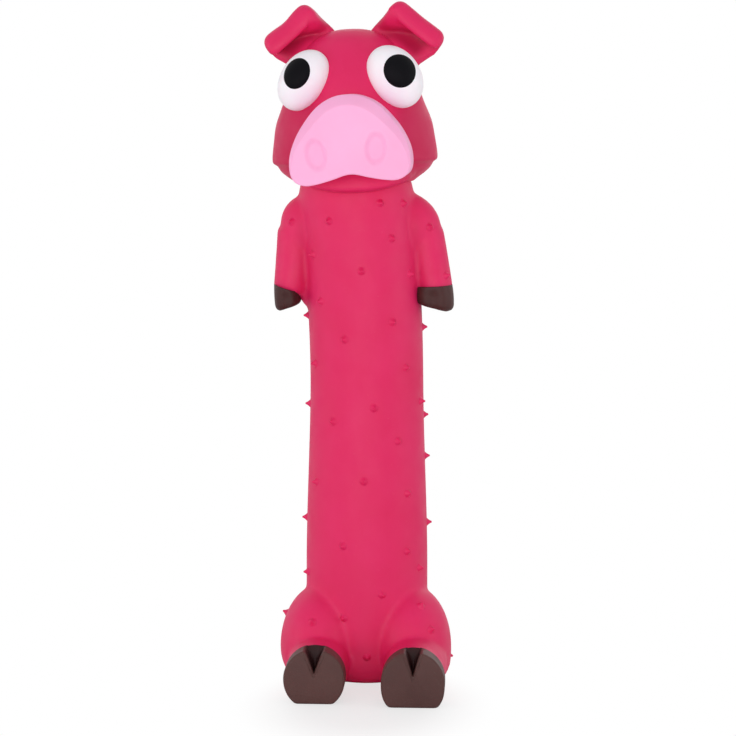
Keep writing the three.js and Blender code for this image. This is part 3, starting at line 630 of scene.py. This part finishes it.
def hoof_outline(name, cloven):
    """Points [x, z] round a sole: a circle above and a rounded square below, cut flat at the floor and, if
    cloven, by a V from the top. Each point is then averaged with its neighbours, three times."""
    size, power = HIND_HOOF_RADIUS[name], HIND_HOOF_SQUARE[name]
    half = np.arctan2(CLEFT_HALF_WIDTH[name], size)
    wall = np.concatenate([np.linspace(0, half, 16), np.linspace(half, np.pi, 76)[1:]])
    turn = np.concatenate([wall, -wall[-2:0:-1]])
    away = np.abs(turn)
    up, out = np.cos(away), np.sin(away)
    square = size * (np.abs(up) ** power + out**power) ** (-1 / power)
    radius = np.where(up > 0, size, np.minimum(square, SOLE_HEIGHT / np.maximum(-up, NEVER_ZERO)))
    if cloven:
        tip, slope = size - CLEFT_DEPTH, CLEFT_HALF_WIDTH[name] / CLEFT_DEPTH
        groove = tip * slope / np.maximum(slope * up - out, NEVER_ZERO)
        radius = np.where(away < half, np.minimum(groove, size), radius)
    points = points_of(radius * np.sin(turn), radius * np.cos(turn))
    for _ in range(3):
        points = 0.5 * points + 0.25 * (np.roll(points, 1, axis=0) + np.roll(points, -1, axis=0))
    return points


def inset(points, distance):
    """Moves an outline's points inwards along its normals."""
    along = np.roll(points, -1, axis=0) - np.roll(points, 1, axis=0)
    along /= np.linalg.norm(along, axis=1, keepdims=True)
    return points + distance * points_of(along[:, 1], -along[:, 0])


def standing(rings):
    """Grid of upright rings: each is given by its points [x, z] and their y, one for all or one for each."""
    return np.stack([points_of(p[:, 0], 0 * p[:, 0] + y, p[:, 1]) for p, y in rings])


def hind_hoof(name):
    """Sole outline carried forward: it turns from plain to cloven, rounds over at the rim in a quarter circle
    and closes in a slightly domed sole."""
    plain, cloven = hoof_outline(name, False), hoof_outline(name, True)
    back, front = SOLE_FRONT[name] + HIND_HOOF_LENGTH, SOLE_FRONT[name]
    rings = [(0 * plain, back), (inset(plain, 1.5 * MM), back), (inset(plain, 0.5 * MM), back - 0.4 * MM)]
    for share in np.linspace(0.1, 1, 14):
        outline = between(plain, cloven, ease(share, *CLEFT_RUN))
        rings.append((outline, between(back, front + HOOF_EDGE, share)))
    for angle in np.radians(np.linspace(15, 90, 6)):
        inwards, backwards = HOOF_EDGE * (1 - np.cos(angle)), HOOF_EDGE * (1 - np.sin(angle))
        rings.append((inset(cloven, inwards), front + backwards))
    sole = rings[-1][0]
    rings += [(sole * scale, front - SOLE_DOME * (1 - scale**2)) for scale in np.linspace(0.95, 0, 16)]
    return standing(rings) + np.array([SIDES[name] * FOOT_OUT[name], 0, SOLE_HEIGHT])


def in_cleft(name):
    """Rule for painted shade in the cleft: between its walls, more with the distance behind the sole."""
    middle = np.array([SIDES[name] * FOOT_OUT[name], SOLE_FRONT[name], SOLE_HEIGHT])
    tip = HIND_HOOF_RADIUS[name] - CLEFT_DEPTH

    def rule(spots):
        x, y, z = (spots - middle).T
        wall = CLEFT_HALF_WIDTH[name] * (z - tip) / CLEFT_DEPTH + CLEFT_SHADE_EDGE
        return CLEFT_SHADE * (np.abs(x) < wall) * ease(y, *CLEFT_SHADE_RUN)

    return rule


brown_paint = latex_finish("brown_paint", *PAINT_BROWN, specular=0.22, grain=0.3)
for name in SIDES:
    hoof = piece(f"hind_hoof_{name}", hind_hoof(name))
    # Painted shade deep in the cleft.
    shaded(hoof, in_cleft(name))
    dress(hoof, brown_paint, "brown_latex", "torso", f"{name}_hind_hoof")
    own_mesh(hoof)

# Front hooves: small painted trotters at the ends of the arms, two soft toes with a groove between them.
# They are taller on the outside, and the brown paint ends in a line round the wrist; it is drawn darker here
# than on the hind hooves, as painted shade.
TROTTER_SPAN = by_side(mm(21.2, 36.8), mm(26.4, 36.9))
TROTTER_TOP = by_side(mm(164.3, 165), mm(162, 165))
TROTTER_SOLE = by_side(mm(157.4, 154.2), mm(156.9, 154.2))
TROTTER_DEPTH, TROTTER_SQUARE = 9 * MM, 2.3
TROTTER_EDGE, TROTTER_EDGE_START, TROTTER_BULGE = 0.24, 0.76, 0.04
TOE_GROOVE, TOE_GROOVE_DEGREES = 0.13, 20
# Darker copy of the hooves' brown: painted shade on the front hooves, not a different paint.
PAINT_BROWN_SHADED = (0.058, 0.017, 0.016), (0.036, 0.01, 0.0095)


def trotter(name):
    """Rounded square rings from the wrist to the sole, with a round edge below. Top and sole each run
    straight from the inner to the outer side, and a bell in front presses the groove between the toes."""
    share = np.linspace(0, 1, 30)
    round_edge = 1 - np.sqrt(1 - ease_line(share, TROTTER_EDGE_START, 1) ** 2)
    edge = 1 - TROTTER_EDGE * round_edge + TROTTER_BULGE * np.sin(np.pi * share)
    scale = np.concatenate([[0], edge, edge[-1] * np.linspace(0.9, 0, 8)])[:, None]
    down = np.concatenate([[0], share, np.ones(8)])[:, None]
    angle = once_round(96)
    powers = np.abs(np.cos(angle)) ** TROTTER_SQUARE + np.abs(np.sin(angle)) ** TROTTER_SQUARE
    square = powers ** (-1 / TROTTER_SQUARE)
    from_front = np.degrees(np.angle(np.exp(1j * (angle + np.pi / 2))))
    bell = np.exp(-((from_front / TOE_GROOVE_DEGREES) ** 2))
    inner, outer = TROTTER_SPAN[name]
    x = (inner + outer) / 2 + (outer - inner) / 2 * scale * square * np.cos(angle)
    groove = 1 - TOE_GROOVE * bell * ease(down, 0, 0.5)
    y = ARM_FORWARD + TROTTER_DEPTH * scale * square * np.sin(angle) * groove
    out = (x - inner) / (outer - inner)
    top = between(*TROTTER_TOP[name], out)
    sole = between(*TROTTER_SOLE[name], ease_line(out, 0, 0.8))
    return leaned(points_of(SIDES[name] * x, y, between(top, sole, down)))


shaded_brown_paint = latex_finish("shaded_brown_paint", *PAINT_BROWN_SHADED, specular=0.25, grain=0.3)
for name in SIDES:
    hoof = piece(f"front_hoof_{name}", trotter(name))
    dress(hoof, shaded_brown_paint, "brown_latex", "torso", f"{name}_front_hoof")
    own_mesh(hoof)

# Head skin: the upper end of the same casting, a tall egg with heavy jowls and a lower lip under the snout.
# It sits on the ball of the neck, and a soft ledge along the jowls marks the corners of the mouth.
NECK = np.array(joints["neck_nod"]["pos_m"])
HEAD_ROLL, HEAD_TURN = np.radians(-1.8), np.radians(-1)
SOCKET_RADIUS = NECK_RADIUS + 0.4 * MM
HEAD_MIDDLE, HEAD_DEPTH = 36 * MM, 0.86
HEAD_FLATTENS, NAPE_STARTS = mm(5, 16), mm(-4, 16)
HEAD_CELL, HEAD_ROUNDS = 0.6 * MM, 8
JAW_OUTLINE = [(22.9, 6.1), (25, 7.8), (28.2, 10.1), (30.6, 12.2), (31.8, 14.4)]
NAPE_OUTLINE = [(22.9, 6.1), (25.4, 7.8), (29.2, 10.2), (32, 12.8), (33.6, 15.2)]
FACE_OUTLINE = [
    (34, 15.6), (34, 18.4), (33.2, 24.5), (32, 31.5), (29, 39.5), (26.8, 46.5), (24.2, 53.5), (20.4, 60.2),
    (15.6, 65.2), (10, 68.1), (5, 69.3), (0, 69.6),
]
LIP_PLACE, LIP_RADII = mm(0.8, -17.5, 5.4), mm(23.5, 13, 15)
LIP_DROP, LIP_BEND = 2.2 * MM, 2.2 / (340 * MM)
SNOUT_SHIFT = 1 * MM
CORNER_PLACE, CORNER_RADII = mm(19.5, -13, 12), mm(6.2, 8, 5)
BRIDGE_HEIGHT, BRIDGE_RISE, BRIDGE_SPREAD = mm(45, 2.2, 9)
CHEEK_SHADE, CHEEK_SIDE, CHEEK_BACK = 0.36, mm(12, 20), mm(-14, 8)
CHEEK_JAW, CHEEK_CROWN = mm(5, 12), mm(36, 50)


def curve_through(points, steps):
    """Smooth open curve through points: a cubic in each span, its slopes from the points on either side."""
    points = np.asarray(points, float)
    slope = np.gradient(points, axis=0)
    at = np.linspace(0, len(points) - 1, steps)
    span = np.minimum(at.astype(int), len(points) - 2)
    t = (at - span)[:, None]
    first, last = points[span], points[span + 1]
    return (
        first * (1 + 2 * t) * (1 - t) ** 2 + last * t**2 * (3 - 2 * t)
        + slope[span] * t * (1 - t) ** 2 - slope[span + 1] * t**2 * (1 - t)
    )


def on_head(grid):
    """Moves a grid from the head's own frame, at the neck's ball, to its place: turned, rolled and lifted."""
    turn = Matrix.Rotation(HEAD_ROLL, 3, "Y") @ Matrix.Rotation(HEAD_TURN, 3, "Z")
    return grid @ np.array(turn).T + NECK


def skull(socket, shrink=0.0):
    """Outline turned about the neck's axis, wider at the nape than at the jaw, flattened front to back and
    closed below by a round socket. A bell between the eyes pushes the bridge forward."""
    middle, face = np.array([0, HEAD_MIDDLE]), curve_through(FACE_OUTLINE, 90)
    front, back = (
        middle + (np.concatenate([curve_through(low, 16), face]) * MM - middle) * (1 - shrink)
        for low in (JAW_OUTLINE, NAPE_OUTLINE)
    )
    kept = np.hypot(*front.T) > socket
    front, back = front[kept], back[kept]
    below = arc(0, 0, socket, 90, np.degrees(np.arctan2(front[0, 1], front[0, 0])), 24)
    jaw, nape = (turned(np.concatenate([below, outer]), 160) for outer in (front, back))
    grid = between(jaw, nape, ease(jaw[..., 1:2], *NAPE_STARTS))
    flattened = between(1, HEAD_DEPTH, ease(front[:, 1], *HEAD_FLATTENS))
    grid[..., 1] *= np.concatenate([np.ones(len(below)), flattened])[:, None]
    x, y, z = np.moveaxis(grid, -1, 0)
    bell = np.exp(-((x / BRIDGE_SPREAD) ** 2) - ((z - BRIDGE_HEIGHT) / BRIDGE_SPREAD) ** 2)
    grid[..., 1] -= BRIDGE_RISE * bell * (y < 0)
    return grid


def lip():
    """Ellipsoid under the snout, shallow below its middle, so that its rim is low in front, and bent up to
    the sides by the square of the distance from the middle."""
    grid = shallow_ball(LIP_RADII, LIP_DROP)
    grid[..., 2] += LIP_BEND * grid[..., 0] ** 2
    return grid + LIP_PLACE


def in_cheeks(spots):
    """Rule for the head's painted shade: the cheeks beside the snout, fading to the crown, the jaw and the
    back.
    """
    x, y, z = (spots - NECK).T
    beside = ease(np.abs(x - SNOUT_SHIFT), *CHEEK_SIDE) * (1 - ease(y, *CHEEK_BACK))
    return CHEEK_SHADE * beside * ease(z, *CHEEK_JAW) * (1 - ease(z, *CHEEK_CROWN))


corners = [ball(CORNER_PLACE, CORNER_RADII) * (side, 1, 1) for side in SIDES.values()]
head_grids = [on_head(grid) for grid in (skull(SOCKET_RADIUS), lip(), *corners)]
head_skin = fused("head_casting", head_grids, HEAD_CELL, HEAD_ROUNDS)
# Painted shade on the cheeks beside the snout.
shaded(head_skin, in_cheeks)
dress(head_skin, red_latex, "red_latex", "head", "head_skin")

# Stuffing of the head: one more wad of the same polyester fibre, pushed up before those of the body.
# It fills the head loosely and is shaped over the ball of the neck.
HEAD_WAD_GAP, HEAD_WAD_SHRINK, HEAD_LUMP_DEPTH = 0.5 * MM, 0.1, 0.03
head_fibre = lumps(skull(SOCKET_RADIUS + HEAD_WAD_GAP, HEAD_WAD_SHRINK), LUMP_SIZE, HEAD_LUMP_DEPTH)
head_wad = piece("head_wad", on_head(head_fibre))
dress(head_wad, teased_fibre, "fibre", "head", "head_filling")

# Snout: a thick disc that stands out from the face, its rim sloped and its lower edge drawn up in the middle.
# Pale pink satin paint over the latex, with two shallow oval nostrils pressed into the face.
SNOUT_HALF = [
    (0, 11.8), (3, 11.4), (7.5, 10.1), (13.5, 8.8), (18.3, 8.5), (22.1, 10.2), (23.8, 13.7), (23.8, 19.2),
    (22.1, 24.9), (18.6, 31.2), (12.5, 38.4), (6.1, 42.2), (0, 43.2),
]
SNOUT_ROLL = np.radians(-2.4)
SNOUT_ROOT, SNOUT_REACH, SNOUT_OVER_NECK = mm(-14, -46.2, 1)
SNOUT_RIM_LOW, SNOUT_RIM_TOP, SNOUT_RIM_RUN = 0.4 * MM, 4.2 * MM, mm(8, 43)
SNOUT_RIM_ROUND = 1.1
SNOUT_MIDDLE = mm(0, 23)
SNOUT_NARROWING, SNOUT_WIDENS_BY = 0.2, 0.28
NOSTRILS = (mm(10.6, 21.4), mm(-13.1, 20.4))
NOSTRIL_RADII, NOSTRIL_EDGE = mm(4.4, 6.8), (0.6, 1.05)
NOSTRIL_TILT, NOSTRIL_DEPTH = np.radians(9), 1.3 * MM
PAINT_PINK = (1, 0.45, 0.72), (0.95, 0.39, 0.64)


def closed_curve(points, steps):
    """Smooth closed curve through points, with steps in each span: an open curve that overlaps itself by one
    point before and two after, cut back to once round."""
    wrapped = np.concatenate([points[-1:], points, points[:2]])
    return curve_through(wrapped, steps * (len(points) + 2) + 1)[steps : steps * (len(points) + 1)]


def tilted(x, z, angle):
    """Coordinates x and z turned by an angle."""
    return x * np.cos(angle) - z * np.sin(angle), z * np.cos(angle) + x * np.sin(angle)


def snout_grid():
    """Closed outline carried forward from inside the head, where it is narrower. Its rim slopes in to the
    face, widely above and narrowly below, and closes in a flat face with an oval step pressed in for each
    nostril."""
    half = np.array(SNOUT_HALF)
    outline = closed_curve(np.concatenate([half, half[-2:0:-1] * (-1, 1)]), 10) * MM
    slope = between(SNOUT_RIM_LOW, SNOUT_RIM_TOP, ease(outline[:, 1:], *SNOUT_RIM_RUN))
    edge, middle = SNOUT_REACH + slope[:, 0], np.array(SNOUT_MIDDLE)
    root = between(middle, outline, 1 - SNOUT_NARROWING)
    over_neck = np.sqrt(np.maximum((SOCKET_RADIUS + SNOUT_OVER_NECK) ** 2 - (root**2).sum(axis=1), 0))
    root_y = np.minimum(SNOUT_ROOT, -over_neck)
    rings = [(middle + 0 * outline, SNOUT_ROOT)]
    for share in np.linspace(0, 1, 26):
        rings.append((between(root, outline, ease(share, 0, SNOUT_WIDENS_BY)), between(root_y, edge, share)))
    for share in np.linspace(0, 1, 12)[1:]:
        rim_y = SNOUT_REACH + slope[:, 0] * (1 - share) ** SNOUT_RIM_ROUND
        rings.append((inset(outline, -slope * share), rim_y))
    face = rings[-1][0]
    rings += [(between(middle, face, scale), SNOUT_REACH) for scale in np.linspace(0.985, 0, 66)]
    grid = standing(rings)
    x, y, z = np.moveaxis(grid, -1, 0)
    press = 0 * x
    for out, height in NOSTRILS:
        across, up = tilted(x - out, z - height, np.sign(out) * NOSTRIL_TILT)
        press += 1 - ease(np.hypot(across / NOSTRIL_RADII[0], up / NOSTRIL_RADII[1]), *NOSTRIL_EDGE)
    grid[..., 1] += NOSTRIL_DEPTH * press * (y < SNOUT_REACH + MM)
    grid = (grid - (0, 0, SNOUT_MIDDLE[1])) @ np.array(Matrix.Rotation(SNOUT_ROLL, 3, "Y")).T
    return on_head(grid + (SNOUT_SHIFT, 0, SNOUT_MIDDLE[1]))


pink_paint = latex_finish("pink_paint", *PAINT_PINK, talc=0, specular=0.4, grain=0.1)
snout = piece("pink_snout", snout_grid())
dress(snout, pink_paint, "pink_latex", "head", "snout")

# Eyes: bulging ovals moulded with the face, tilted so that their lower ends point outwards.
# White satin paint over the latex, with a black dome painted on each for the pupil.
EYE_PLACE = by_side(mm(18.4, -17.6, 49.5), mm(-18.3, -17.6, 49.2))
EYE_RADII = by_side(mm(10.5, 10, 13.5), mm(9.7, 10, 13.1))
EYE_TILT, PUPIL_TILT = np.radians(33), np.radians(28)
PUPIL_SHIFT = by_side(mm(2.5, 2.2), mm(2, 2.8))
PUPIL_RADII = by_side(mm(6.2, 6.8), mm(5.2, 6.4))
PUPIL_RISE, PUPIL_SUNK = mm(0.8, 0.5)
PAINT_WHITE = (0.95, 0.91, 0.96), (0.9, 0.83, 0.9)
PAINT_BLACK = (0.006, 0.0055, 0.0075), (0.003, 0.003, 0.004)


def eye_front(x, z, name):
    """Reach forward of an eye over the point x, z of its upright face."""
    across, deep, tall = EYE_RADII[name]
    beside, along = tilted(x, z, -SIDES[name] * EYE_TILT)
    return deep * np.sqrt(np.clip(1 - (beside / across) ** 2 - (along / tall) ** 2, 0, 1))


def eye_grid(name):
    """Ellipsoid tilted outwards at its foot."""
    tilt = np.array(Matrix.Rotation(-SIDES[name] * EYE_TILT, 3, "Y"))
    return on_head(ball((0, 0, 0), EYE_RADII[name], 64, 96) @ tilt.T + np.array(EYE_PLACE[name]))


def pupil_grid(name):
    """Tilted oval laid on the eye: rings of a disc pushed forward on to the eye and domed, closed behind."""
    share, angle = np.linspace(0, 1, 24), once_round(96)
    scale = np.concatenate([share, [1, 0.97, 0.5, 0]])[:, None]
    rise = np.concatenate([PUPIL_RISE * np.sqrt(1 - share**4), [-PUPIL_SUNK] * 4])[:, None]
    (wide, tall), (aside, lift) = PUPIL_RADII[name], PUPIL_SHIFT[name]
    x, z = tilted(wide * scale * np.cos(angle), tall * scale * np.sin(angle), SIDES[name] * PUPIL_TILT)
    x, z = SIDES[name] * aside + x, lift + z
    y = -eye_front(x, z, name) - rise
    return on_head(points_of(x, y, z) + np.array(EYE_PLACE[name]))


white_paint = latex_finish("white_paint", *PAINT_WHITE, talc=0, specular=0.4, grain=0.1)
black_paint = latex_finish("black_paint", *PAINT_BLACK, talc=0, specular=0.05, grain=0.2)
for name in SIDES:
    eye = piece(f"eye_{name}", eye_grid(name))
    dress(eye, white_paint, "white_latex", "head", f"{name}_eye")
    pupil = piece(f"pupil_{name}", pupil_grid(name))
    dress(pupil, black_paint, "black_latex", "head", f"{name}_pupil")

# Ears: thick latex flaps that rise from the crown and roll forward along a ridge, so that the tips hang free.
# A slope of the same rubber closes each roll at its inner end.
# The ears are cast with the head and bend at the root, where they run into the skin.
EAR_RIDGE = by_side(*mm(16.3, 15.1))
EAR_FREE_EDGE = by_side(*mm(8.4, 5.8))
EAR_DIP, EAR_DIP_SPREAD = by_side(*mm(0.2, 0.8)), 0.35
EAR_INNER = by_side(mm(-12.6, -12), mm(-13.8, -13.2))
EAR_OUTER = by_side(mm(11.8, 14.3), mm(10, 12.2))
EAR_HALF = {name: (EAR_OUTER[name][1] - EAR_INNER[name][1]) / 2 for name in SIDES}
EAR_CORNER = 4.4 * MM
EAR_FREE_CORNER = 0.8 * EAR_CORNER
EAR_BEND = 3.6 * MM
EAR_FOLD, EAR_CURL = np.radians(140), np.radians(42)
EAR_FOLD_Y = -EAR_BEND * (1 - np.cos(EAR_FOLD))
EAR_RUN_OUT, EAR_RUN_OUT_SPAN = 0.4, (0.4, 0.95)
EAR_HALF_THICKNESS, EAR_ROUND_END = 1.5 * MM, 0.88
EAR_SUNK = 5 * MM
EAR_FLARE, EAR_FLARE_RUN = 2 * MM, mm(-2, 6)
EAR_BROW, EAR_BROW_RUN = 6 * MM, mm(-3, 8)
EAR_BROW_FADE, EAR_BROW_FADE_SPAN = 0.8, (0, 0.7)
EAR_CELL, EAR_ROUNDS = 0.45 * MM, 20
GUSSET_SPAN, GUSSET_FLUSH, GUSSET_SUNK = (-0.985, 0.5), (0.25, 0.8), 4 * MM
GUSSET_BACK, GUSSET_LIFT = mm(1, -1.1), mm(2.4, 1)
FOLD_SHADE, FOLD_INNER_FADE = 0.5, 0.5
FOLD_BACK, FOLD_FRONT = mm(0, 1.2), mm(3.2, 6.4)
FOLD_INNER, FOLD_OUTER = mm(6, 13), mm(7, 11)
FOLD_FOOT, FOLD_TOP = mm(-2, 3), mm(8, 12)


def corner_drop(value, limit, radius):
    """Drop of a rounded corner: none up to a radius before the limit, then a quarter circle to one radius."""
    beyond = np.clip((np.abs(value) - limit + radius) / radius, 0, 1)
    return radius * (1 - np.sqrt(1 - beyond**2))


def ear_roll(name, u):
    """The roll from end to end: the height of the bend's centre, and a rule for y and z of the flap at an
    angle of its curl. The ridge has a slight dip and a rounded corner at each end, and the flap reaches the
    free edge and is shorter at the inner end."""
    half = EAR_HALF[name]
    dip = EAR_DIP[name] * np.exp(-((u / EAR_DIP_SPREAD) ** 2))
    ridge = EAR_RIDGE[name] - corner_drop(u * half, half, EAR_CORNER) - dip
    top = ridge - EAR_HALF_THICKNESS - EAR_BEND
    fold_z = top + EAR_BEND * np.sin(EAR_FOLD)
    free = EAR_FREE_EDGE[name] + corner_drop(u * half, half, EAR_FREE_CORNER)
    hang = np.maximum(fold_z - free, MM) * (1 - EAR_RUN_OUT * ease(-u, *EAR_RUN_OUT_SPAN))
    radius = hang / (np.sin(EAR_FOLD) - np.sin(EAR_FOLD + EAR_CURL))

    def flap(angle):
        y = EAR_FOLD_Y - radius * (np.cos(EAR_FOLD) - np.cos(angle))
        return y, fold_z + radius * (np.sin(angle) - np.sin(EAR_FOLD))

    return top, flap


def ear_grid(name):
    """Loops round a hooked section, stacked from the ear's inner end to its outer end: a straight sheet, an
    arc over the ridge and a flap that curls in. Ridge and free edge drop in rounded corners at both ends, the
    rim is round, the root flares behind, and in front it swells into the brow."""
    share = np.linspace(0, 1, 26)
    u = np.linspace(-1, 1, 76)[:, None]
    top, flap = ear_roll(name, u)
    over, curl = EAR_FOLD * share, EAR_FOLD + EAR_CURL * share
    sheet_z = between(-EAR_SUNK, top, share)
    arc_y, arc_z = 0 * u - EAR_BEND * (1 - np.cos(over)), top + EAR_BEND * np.sin(over)
    flap_y, flap_z = flap(curl)
    y = np.concatenate([0 * sheet_z, arc_y[:, 1:], flap_y[:, 1:]], axis=1)
    z = np.concatenate([sheet_z, arc_z[:, 1:], flap_z[:, 1:]], axis=1)
    heading = np.concatenate([0 * share, over[1:], curl[1:]])

    def on_sheet(value, beyond):
        return np.concatenate([value, np.full((len(u), y.shape[1] - len(share)), beyond)], axis=1)

    rising = on_sheet((sheet_z / top).clip(0, 1), 1)
    inner, outer = (between(*end[name], rising) for end in (EAR_INNER, EAR_OUTER))
    across = SIDES[name] * between(inner, outer, (u + 1) / 2)
    round_rim = np.sqrt(1 - np.linspace(0, 1, 14) ** 2)
    rim = np.concatenate([np.ones(y.shape[1] - len(round_rim)), round_rim])
    thick = EAR_HALF_THICKNESS * rim * np.sqrt(1 - ease_line(np.abs(u), EAR_ROUND_END, 1) ** 2)
    flare = EAR_FLARE * on_sheet(1 - ease(sheet_z, *EAR_FLARE_RUN), 0) * (1 - u**8)
    brow = EAR_BROW * on_sheet(1 - ease(sheet_z, *EAR_BROW_RUN), 0) * (1 - u**4)
    brow *= 1 - EAR_BROW_FADE * ease(-u, *EAR_BROW_FADE_SPAN)

    def face(distance):
        return points_of(across, y + distance * np.cos(heading), z + distance * np.sin(heading))

    return np.concatenate([face(thick + flare), face(-thick - brow)[:, ::-1]], axis=1)


def gusset(name):
    """Loops round the filling of the roll, stacked from the ear's inner end: up along the front in an S from
    the sheet to the flap's edge, then inside the flap, over the ridge and down inside the sheet. At the inner
    end the S starts at the root and ends flush with the flap, and outwards it shrinks up into the roll."""
    u = np.linspace(*GUSSET_SPAN, 60)[:, None]
    share = np.linspace(0, 1, 24)
    top, flap = ear_roll(name, u)
    (fold_y, fold_z), (edge_y, edge_z) = flap(EAR_FOLD), flap(EAR_FOLD + EAR_CURL)
    flush = ease(-u, *GUSSET_FLUSH)
    edge_y, edge_z = edge_y + between(*GUSSET_BACK, flush), edge_z + between(*GUSSET_LIFT, flush)
    foot_z = between(-GUSSET_SUNK, edge_z, ease(u, -1, GUSSET_SPAN[1]))
    corners_y = [edge_y, fold_y, -EAR_BEND + 0 * u, 0 * u, 0 * u]
    corners_z = [edge_z, fold_z, top + EAR_BEND, top, foot_z]
    y = [edge_y * ease(share, 0, 1)] + [between(*ends, share) for ends in zip(corners_y, corners_y[1:])]
    z = [between(foot_z, edge_z, share)] + [between(*ends, share) for ends in zip(corners_z, corners_z[1:])]
    y = np.concatenate(y, axis=1) * np.sqrt(1 - ease_line(-u, EAR_ROUND_END, 1) ** 2)
    across = EAR_INNER[name][1] + EAR_HALF[name] * (u + 1) + 0 * y
    loops = points_of(SIDES[name] * across, y, np.concatenate(z, axis=1))
    ends = loops[[0, -1]].mean(axis=1, keepdims=True) + 0 * loops[[0, -1]]
    return np.concatenate([ends[:1], loops, ends[1:]])


def ear_axes(name):
    """Rows: along the ear's hinge, backwards, and up along the ear."""
    along = np.array(joints[f"{name}_ear_flop"]["axis"])
    along /= np.linalg.norm(along)
    backwards = np.cross([0, 0, 1], along)
    backwards /= np.linalg.norm(backwards)
    return np.stack([along, backwards, np.cross(along, backwards)])


def in_fold(name):
    """Rule for the ear's painted shade: between sheet and flap, less towards the root, the ridge and the
    ends.
    """

    def rule(spots):
        x, y, z = ((spots - joints[f"{name}_ear_flop"]["pos_m"]) @ ear_axes(name).T).T
        between_faces = ease(-y, *FOLD_BACK) * (1 - ease(-y, *FOLD_FRONT))
        outwards = SIDES[name] * x
        within = (1 - FOLD_INNER_FADE * ease(-outwards, *FOLD_INNER)) * (1 - ease(outwards, *FOLD_OUTER))
        return FOLD_SHADE * between_faces * within * ease(z, *FOLD_FOOT) * (1 - ease(z, *FOLD_TOP))

    return rule


for name in SIDES:
    root, rise = np.array(joints[f"{name}_ear_flop"]["pos_m"]), ear_axes(name)[2]
    ear_grids = [grid @ ear_axes(name) + root for grid in (ear_grid(name), gusset(name))]
    ear = fused(f"ear_{name}", ear_grids, EAR_CELL, EAR_ROUNDS)
    # Painted shade in the pocket under the roll.
    shaded(ear, in_fold(name))
    dress(ear, red_latex, "red_latex", None, f"{name}_ear")
    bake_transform(ear)

# Studio: a pale matt floor that fades to white, soft light from a large panel in front and from all round.
# The camera stands a metre away, slightly above the toy's middle and a little to its left.
FLOOR_PALE, FLOOR_HALF = (0.9, 0.89, 0.9), 4
SHADE_PLACE, SHADE_SIZE = mm(2, -55), mm(55, 75)
SHADE_START, SHADE_LEAST_WHITE = 0.3, 0.65
ROOM_LIGHT, ROOM_SEEN = 0.6, 1
PANEL_AIM = (0, 0, 0.14)
PANELS = (  # name, place, width and height in metres, then watts
    ("front_panel", (-0.15, -1.5, 0.3), 2, 0.5, 8.8),
    ("back_panel", (0.2, 1.6, 0.8), 1.6, 0.8, 3),
    ("left_panel", (1.5, -0.4, 0.3), 1, 0.5, 3),
    ("right_panel", (-1.5, -0.4, 0.3), 1, 0.5, 2.6),
)
VIEW_DISTANCE, VIEW_HEIGHT = 1.0, 0.25
VIEW_TURN = np.radians(3)
AIM_SHIFT, AIM_HEIGHT = mm(0.42, 129.75)
FRAME_PIXELS, FOCAL_PIXELS = 736, 2421.3
SENSOR = 36


def facing(name, data, place, aim):
    """Lamp or camera in the scene at a place, turned to face an aim."""
    made = in_scene(name, data)
    made.location = place
    made.rotation_euler = (Vector(aim) - Vector(place)).to_track_quat("-Z", "Y").to_euler()
    return made


floor_mesh = bpy.data.meshes.new("floor")
floor_corners = [(x * FLOOR_HALF, y * FLOOR_HALF, 0) for x, y in ((-1, -1), (1, -1), (1, 1), (-1, 1))]
floor_mesh.from_pydata(floor_corners, [], [(0, 1, 2, 3)])
floor = in_scene("floor", floor_mesh)
floor_finish, tree, paper, place = new_finish("floor_paper", {
    "Base Color": (*FLOOR_PALE, 1), "Roughness": 0.6, "Specular IOR Level": 0.2,
})
shade = node(tree, "Mapping", {
    "Location": (-SHADE_PLACE[0] / SHADE_SIZE[0], -SHADE_PLACE[1] / SHADE_SIZE[1], 0),
    "Scale": (1 / SHADE_SIZE[0], 1 / SHADE_SIZE[1], 0),
})
distance = maths(tree, "LENGTH", "VectorMath")
fade = node(tree, "MapRange", {"From Min": SHADE_START, "To Min": SHADE_LEAST_WHITE})
fade.interpolation_type = "SMOOTHSTEP"
seen = maths(tree, "MULTIPLY")
light_path, white, mix = (node(tree, kind) for kind in ("LightPath", "Emission", "MixShader"))
join(
    tree, (place, "Object", shade, "Vector"), (shade, "Vector", distance, 0),
    (distance, "Value", fade, "Value"), (fade, "Result", seen, 0), (light_path, "Is Camera Ray", seen, 1),
    (seen, "Value", mix, "Fac"), (paper, "BSDF", mix, 1), (white, "Emission", mix, 2),
    (mix, "Shader", tree.nodes["Material Output"], "Surface"),
)
paint(floor, floor_finish)

world = bpy.data.worlds.new("studio")
bpy.context.scene.world = world
world.use_nodes = True
tree = world.node_tree
room = preset(tree.nodes["Background"], {"Color": (1, 1, 1, 1)})
light_path, shown = node(tree, "LightPath"), maths(tree, "MAXIMUM")
level = node(tree, "MapRange", {"To Min": ROOM_LIGHT, "To Max": ROOM_SEEN})
join(
    tree, (light_path, "Is Camera Ray", shown, 0), (light_path, "Is Glossy Ray", shown, 1),
    (shown, "Value", level, "Value"), (level, "Result", room, "Strength"),
)

for name, place, width, height, power in PANELS:
    lamp = bpy.data.lights.new(name, "AREA")
    lamp.shape = "RECTANGLE"
    lamp.size, lamp.size_y = width, height
    lamp.energy = power
    facing(name, lamp, place, PANEL_AIM)

sideways = np.array([np.cos(VIEW_TURN), np.sin(VIEW_TURN), 0])
backwards = np.array([np.sin(VIEW_TURN), -np.cos(VIEW_TURN), 0])
camera_data = bpy.data.cameras.new("camera")
camera_data.sensor_width = SENSOR
camera_data.lens = SENSOR * FOCAL_PIXELS / FRAME_PIXELS
aim = AIM_SHIFT * sideways
camera_place = VIEW_DISTANCE * backwards + aim + (0, 0, VIEW_HEIGHT)
bpy.context.scene.camera = facing("camera", camera_data, camera_place, aim + (0, 0, AIM_HEIGHT))
bpy.context.scene.view_settings.view_transform = "Standard"
